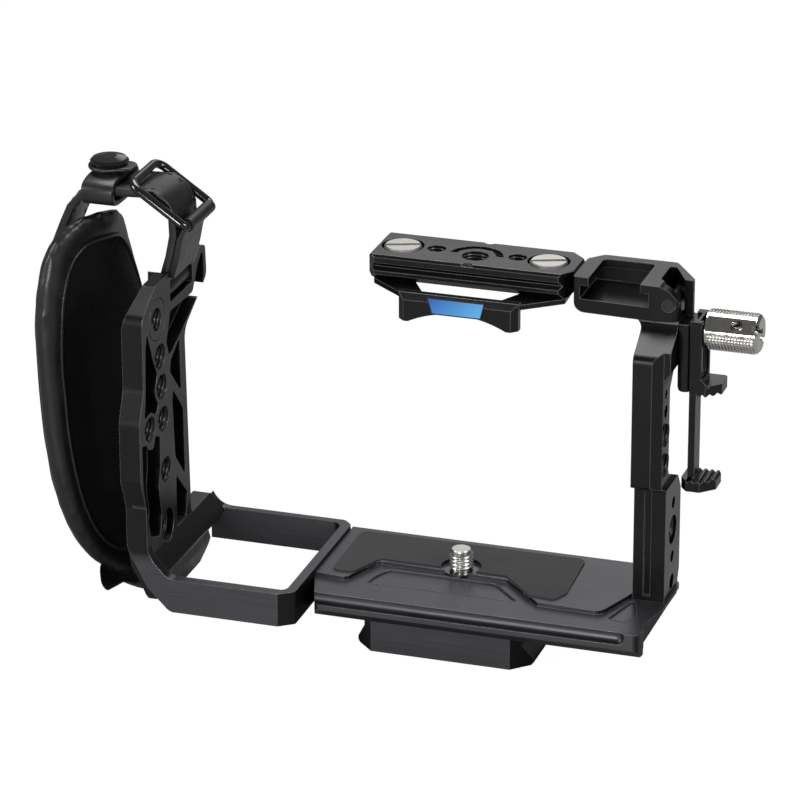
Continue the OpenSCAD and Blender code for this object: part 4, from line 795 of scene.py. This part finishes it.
class CAGE_OT_hand_pad(bpy.types.Operator):
    """Stuff the hand pad, sew its channel and lay the piping in it"""

    bl_idname = "cage.hand_pad"
    bl_label = "Hand pad"

    def execute(self, context):
        finishes = ("smooth_black_leather", "ribbed_black_fabric")
        obj = new_piece("hand_pad_stuffed", lambda bm: node_copy(bm, "hand_pad"), "cage", "black_leather",
                        *finishes)
        remesh = obj.modifiers.new("Remesh", "REMESH")
        remesh.mode = "VOXEL"
        remesh.voxel_size = 1.6 * MM
        settle(obj)
        self.fill_out(obj)
        swell(obj, 1.1 * MM)
        self.press_channel(obj)
        dress(obj, *finishes)
        for face in obj.data.polygons:
            face.use_smooth = True
            # The lining covers the face towards the hand, inside the channel
            lined = face.normal.x > 0.2 and pad_share(face.center.y, face.center.z) < PAD_CHANNEL
            face.material_index = 1 if lined else 0
        extra = obj.modifiers.new("Subdivision", "SUBSURF")
        extra.levels = extra.render_levels = 1
        settle(obj)
        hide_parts("hand_pad")
        self.lay_piping(context, obj)
        return {"FINISHED"}

    def fill_out(self, obj):
        """Move the outline from the part's rounding to the fuller one of the photo, and raise its end."""
        for vert in obj.data.vertices:
            up = (vert.co.z / MM - PAD_MID_Z) / PAD_HALF_L
            across = (vert.co.y / MM - PAD_MID_Y + PAD_LEAN * max(0.0, up) ** 2) / PAD_HALF_W
            # The very middle stays where it is
            if math.hypot(across, up) < 0.01:
                continue
            grow = oval_size(across, up, CAD_POWER) / oval_size(across, up, PAD_POWER)
            vert.co.y, vert.co.z = pad_point(across * grow * PAD_HALF_W, up * grow * PAD_HALF_L)

    def press_channel(self, obj):
        """Press the sewn channel into both faces, and smooth the voxel steps."""
        # How deep it is, and how wide as a share of the oval
        depth, width = 0.9 * MM, 0.035
        bm = bmesh.new()
        bm.from_mesh(obj.data)
        for _ in range(3):
            bmesh.ops.smooth_vert(bm, verts=bm.verts, factor=0.5, use_axis_x=True, use_axis_y=True,
                                  use_axis_z=True)
        bm.normal_update()
        for vert in bm.verts:
            share = pad_share(vert.co.y, vert.co.z)
            dip = depth * math.exp(-((share - PAD_CHANNEL) / width) ** 2)
            side = 1 if vert.normal.x > 0 else -1
            vert.co.x -= side * dip * abs(vert.normal.x)
        bm.to_mesh(obj.data)
        bm.free()

    def lay_piping(self, context, pad):
        """A thin leather cord all round the channel of both faces, resting on the pad."""
        tree = BVHTree.FromPolygons([v.co for v in pad.data.vertices],
                                    [p.vertices for p in pad.data.polygons])
        radius = context.scene.cage_sizes.piping_radius
        # How far the cord's middle lies above the pad
        lift = 0.35 * radius
        # The pad's middle plane, and how far to either side of it a ray starts
        middle_x, away = -100 * MM, 50 * MM
        for name, side in (("piping_inner", 1), ("piping_outer", -1)):
            points = []
            for c, s in circle(120):
                reach = PAD_CHANNEL / oval_size(c, s, PAD_POWER)
                y, z = pad_point(reach * PAD_HALF_W * c, reach * PAD_HALF_L * s)
                hit = tree.ray_cast(Vector((middle_x + side * away, y, z)), Vector((-side, 0, 0)))[0]
                if hit is None:
                    raise RuntimeError("the piping found no pad below it")
                points.append(hit + Vector((side * lift, 0, 0)))
            new_piece(name, cord_maker(points, radius), "cage", "black_leather", "smooth_black_leather")


def loop_maker(node, wall, power, edge):
    """A maker of a leather band round the strap, rounder than the part's, in the part's own box."""
    def maker(bm):
        low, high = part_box(node)
        mid, half = (low + high) / 2, (high - low) / 2
        rings = []
        for inset, x in ((wall, low.x), (0, low.x), (0, high.x), (wall, high.x)):
            ring = []
            for c, s in circle(64):
                reach = 1 / oval_size(c, s, power)
                ring.append((x, mid.y + (half.y - inset) * reach * c, mid.z + (half.z - inset) * reach * s))
            rings.append(ring)
        skin_rings(bm, rings)
        round_edges(bm, 60, edge)
    return maker


class CAGE_OT_straps(bpy.types.Operator):
    """Make the leather straps, with their edges rounded"""

    bl_idname = "cage.straps"
    bl_label = "Leather straps"

    def execute(self, context):
        edge = context.scene.cage_sizes.leather_edge
        makers = {
            "hand_strap": rounded_copy("hand_strap", edge),
            "strap_fold": self.thin_fold,
            "lower_strap": self.round_tongue,
            "strap_keeper": loop_maker("strap_keeper", 1.6 * MM, 3.2, edge),
        }
        for node, maker in makers.items():
            obj = new_piece(node + "_leather", maker, "cage", "black_leather", "smooth_black_leather")
            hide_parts(node)
        return {"FINISHED"}

    def thin_fold(self, bm):
        """The fold, drawn tight round the buckle's right bar as skived leather is."""
        # How far from the bar's middle the part's outer skin lies, and where it is drawn to
        skin_from, skin_to, drawn = 2.5 * MM, 2.9 * MM, 1.8 * MM
        node_copy(bm, "strap_fold")
        for vert in bm.verts:
            x, z = vert.co.x - BUCKLE_RIGHT[0] * MM, vert.co.z - BUCKLE_RIGHT[1] * MM
            far = math.hypot(x, z)
            if skin_from < far < skin_to:
                vert.co.x += x * (drawn / far - 1)
                vert.co.z += z * (drawn / far - 1)
        smooth_sides(bm, 50)

    def round_tongue(self, bm):
        """The lower strap with a round free end: cut into slices and drawn in by an ellipse."""
        node_copy(bm, "lower_strap")
        low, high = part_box("lower_strap")
        # How long the rounding is, its slices, and the square of the tip's share of the width
        reach, slices, tip = 9 * MM, 11, 0.02
        for i in range(1, slices + 1):
            at = low.x + reach * (1 - math.cos(math.pi / 2 * i / slices))
            bmesh.ops.bisect_plane(bm, geom=list(bm.verts) + list(bm.edges) + list(bm.faces), dist=1e-6,
                                   plane_co=(at, 0, 0), plane_no=(1, 0, 0))
        middle = (low.y + high.y) / 2
        for vert in bm.verts:
            inside = (vert.co.x - low.x) / reach
            if inside < 1 and vert.co.z < 0:
                share = math.sqrt(max(tip, 1 - (1 - inside) ** 2))
                vert.co.y = middle + (vert.co.y - middle) * share
        smooth_sides(bm, 50)


class CAGE_OT_strap_tab(bpy.types.Operator):
    """Lay the strap's round end under the head of the stud"""

    bl_idname = "cage.strap_tab"
    bl_label = "Strap end"

    def execute(self, context):
        def maker(bm):
            # A large circle round the stud and a smaller one towards the buckle, as one outline
            outline, arc = [], 16
            for (centre, radius), start in zip(TAB_CIRCLES, (90, -90)):
                for i in range(arc + 1):
                    angle = math.radians(start + 180 * i / arc)
                    x, y = centre + radius * math.cos(angle), STRAP_MID_Y + radius * math.sin(angle)
                    outline.append(bm.verts.new((x * MM, y * MM, TAB_LOW * MM)))
            raised = bmesh.ops.extrude_face_region(bm, geom=[bm.faces.new(outline)])["geom"]
            bmesh.ops.translate(bm, verts=[g for g in raised if isinstance(g, bmesh.types.BMVert)],
                                vec=(0, 0, (TAB_HIGH - TAB_LOW) * MM))
            bmesh.ops.recalc_face_normals(bm, faces=bm.faces)
            round_edges(bm, 60, context.scene.cage_sizes.leather_edge)

        new_piece("strap_end_tab", maker, "cage", "black_leather", "smooth_black_leather")
        return {"FINISHED"}


class CAGE_OT_buckle(bpy.types.Operator):
    """Bend the buckle from one wire, with round corners"""

    bl_idname = "cage.buckle"
    bl_label = "Wire buckle"

    def execute(self, context):
        right, left = (Vector((x, STRAP_MID_Y, z)) * MM for x, z in (BUCKLE_RIGHT, BUCKLE_LEFT))
        way, middle = (right - left).normalized(), (right + left) / 2
        half_long, half_wide = (right - left).length / 2, BUCKLE_WIDE / 2 * MM
        side = Vector((0, 1, 0))
        up = way.cross(side)
        thick = WIRE / 2 * MM
        # The loop's corners: their sides along and across, and their bends, tighter at the right bar
        corners = ((1, 1, 1.8), (-1, 1, 3.0), (-1, -1, 3.0), (1, -1, 1.8))
        steps = 8

        def maker(bm):
            rings = []
            for quarter, (sx, sy, bend) in enumerate(corners):
                bend *= MM
                centre = middle + way * sx * (half_long - bend) + side * sy * (half_wide - bend)
                for i in range(steps + 1):
                    angle = math.pi / 2 * (quarter + i / steps)
                    out = way * math.cos(angle) + side * math.sin(angle)
                    rings.append([centre + out * (bend + thick * c) + up * (thick * s)
                                  for c, s in circle(16)])
            skin_rings(bm, rings)

        obj = new_piece("strap_buckle_wire", maker, "cage", "black_wire", "gloss_black_wire")
        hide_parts("strap_buckle")
        return {"FINISHED"}


class CAGE_OT_stitches(bpy.types.Operator):
    """Sew the rows of stitches along both edges of the strap"""

    bl_idname = "cage.stitches"
    bl_label = "Stitches"

    def execute(self, context):
        pitch = context.scene.cage_sizes.stitch_pitch
        line = [Vector((x, 0, z)) * MM for x, z in STRAP_ROUTE]
        out, edge_in = 1.12 * MM, 6.3 * MM
        # A stitch is a small grain: its half sizes along, across and out of the strap
        size = Matrix.Diagonal((0.85 * MM, 0.2 * MM, 0.16 * MM, 1))

        def maker(bm):
            left = 0.0
            for a, b in zip(line, line[1:]):
                way = (b - a).normalized()
                side = Vector((way.z, 0, -way.x))
                length = (b - a).length
                turn = Vector((1, 0, 0)).rotation_difference(way).to_matrix().to_4x4()
                while left < length:
                    middle = a + way * left
                    for y in (-edge_in, edge_in):
                        for face in (-1, 1):
                            at = middle + side * face * out + Vector((0, STRAP_MID_Y * MM + y, 0))
                            bmesh.ops.create_icosphere(bm, subdivisions=1, radius=1.0,
                                                       matrix=Matrix.Translation(at) @ turn @ size)
                    left += pitch
                left -= length
            for face in bm.faces:
                face.smooth = True

        new_piece("strap_stitches", maker, "cage", "black_leather", "smooth_black_leather")
        return {"FINISHED"}


class CAGE_OT_stage(bpy.types.Operator):
    """Set the floor, the lamps and the camera"""

    bl_idname = "cage.stage"
    bl_label = "Studio stage"

    def execute(self, context):
        self.floor(context)
        self.world(context)
        self.lamps(context)
        self.camera(context)
        context.scene.view_settings.view_transform = "Standard"
        return {"FINISHED"}

    def floor(self, context):
        """White paper just below the cage, which looks white to the camera and grey to the cage."""
        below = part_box("quick_release_plate")[0].z - 0.2 * MM
        mesh = bpy.data.meshes.new("studio_floor")
        bm = bmesh.new()
        bmesh.ops.create_grid(bm, x_segments=1, y_segments=1, size=6.0,
                              matrix=Matrix.Translation((0, 0, below)))
        bm.to_mesh(mesh)
        bm.free()
        obj = bpy.data.objects.new("studio_floor", mesh)
        context.scene.collection.objects.link(obj)
        material = bpy.data.materials.new("white_paper_sweep")
        tree = empty_tree(material)
        paper = add(tree, "ShaderNodeBsdfDiffuse", {"Color": (0.3, 0.3, 0.3, 1)})
        white = add(tree, "ShaderNodeEmission", {"Color": (1, 1, 1, 1), "Strength": 1.06})
        seen = add(tree, "ShaderNodeLightPath")
        share = add(tree, "ShaderNodeMapRange", {"Value": seen.outputs["Is Camera Ray"], "To Max": 0.94})
        mix = add(tree, "ShaderNodeMixShader",
                  {0: share.outputs["Result"], 1: paper.outputs["BSDF"], 2: white.outputs["Emission"]})
        add(tree, "ShaderNodeOutputMaterial", {"Surface": mix.outputs["Shader"]})
        obj.data.materials.append(material)

    def world(self, context):
        """White air to the camera, and a dim fill to the cage."""
        world = bpy.data.worlds.new("studio_air")
        context.scene.world = world
        tree = empty_tree(world)
        seen = add(tree, "ShaderNodeLightPath")
        direct = add(tree, "ShaderNodeMath",
                     {0: seen.outputs["Is Camera Ray"], 1: seen.outputs["Is Transmission Ray"]},
                     operation="MAXIMUM")
        strength = add(tree, "ShaderNodeMapRange", {"Value": direct.outputs["Value"], "To Min": 0.14})
        air = add(tree, "ShaderNodeBackground",
                  {"Color": (1, 1, 1, 1), "Strength": strength.outputs["Result"]})
        add(tree, "ShaderNodeOutputWorld", {"Surface": air.outputs["Background"]})

    def lamps(self, context):
        """Five soft boxes round the cage, all turned to its middle."""
        aim = Vector((-0.01, -0.005, 0.045))
        for name, at, size, power in (
            ("softbox_top", (-0.10, 0.30, 0.95), 0.6, 9.0),
            ("softbox_back", (-0.16, 1.15, 0.55), 0.55, 0.9),
            ("softbox_left", (-0.95, -0.65, 0.45), 0.4, 8.0),
            ("softbox_right", (0.95, -0.35, 0.5), 0.45, 8.0),
            ("softbox_low", (-0.05, -1.30, 0.16), 0.3, 8.0),
        ):
            lamp = bpy.data.lights.new(name, "AREA")
            lamp.size = size
            lamp.energy = power
            obj = bpy.data.objects.new(name, lamp)
            obj.location = at
            obj.rotation_euler = (aim - Vector(at)).to_track_quat("-Z", "Y").to_euler()
            context.scene.collection.objects.link(obj)

    def camera(self, context):
        """The camera that was fitted to the photo, with its slight roll."""
        lens = bpy.data.cameras.new("camera")
        lens.sensor_width = 36.0
        lens.lens = 205.67
        lens.clip_start, lens.clip_end = 0.05, 20
        obj = bpy.data.objects.new("camera", lens)
        obj.location = (0.3305, -1.0655, 0.5010)
        aim = Vector((-0.2874, 0.8809, -0.3761))
        level = aim.to_track_quat("-Z", "Y").to_matrix().to_4x4()
        obj.matrix_world = Matrix.Translation(obj.location) @ level @ Matrix.Rotation(
            math.radians(-0.128), 4, "Z")
        context.scene.collection.objects.link(obj)
        context.scene.camera = obj


class CAGE_PT_panel(bpy.types.Panel):
    """The cage's steps, in order."""

    bl_label = "Camera cage"
    bl_idname = "CAGE_PT_panel"
    bl_space_type = "VIEW_3D"
    bl_region_type = "UI"
    bl_category = "Camera cage"

    def draw(self, context):
        for operator in OPERATORS:
            self.layout.operator(operator.bl_idname)
        for group in (context.scene.cage_sizes, context.scene.cage_colours):
            box = self.layout.box()
            for name in group.__annotations__:
                box.prop(group, name)


OPERATORS = (
    CAGE_OT_finishes, CAGE_OT_camera_screw, CAGE_OT_hole_threads, CAGE_OT_knurl, CAGE_OT_pocket_lines,
    CAGE_OT_badge, CAGE_OT_hand_pad, CAGE_OT_straps, CAGE_OT_strap_tab, CAGE_OT_buckle, CAGE_OT_stitches,
    CAGE_OT_stage,
)
CLASSES = (CageSizes, CageColours, *OPERATORS, CAGE_PT_panel)


def register():
    for each in CLASSES:
        bpy.utils.register_class(each)
    bpy.types.Scene.cage_sizes = bpy.props.PointerProperty(type=CageSizes)
    bpy.types.Scene.cage_colours = bpy.props.PointerProperty(type=CageColours)


def unregister():
    del bpy.types.Scene.cage_sizes
    del bpy.types.Scene.cage_colours
    for each in reversed(CLASSES):
        bpy.utils.unregister_class(each)


def main():
    """Run every step in order."""
    register()
    for operator in OPERATORS:
        getattr(bpy.ops.cage, operator.bl_idname.split(".")[1])()
    bpy.context.view_layer.update()


if __name__ == "__main__":
    main()
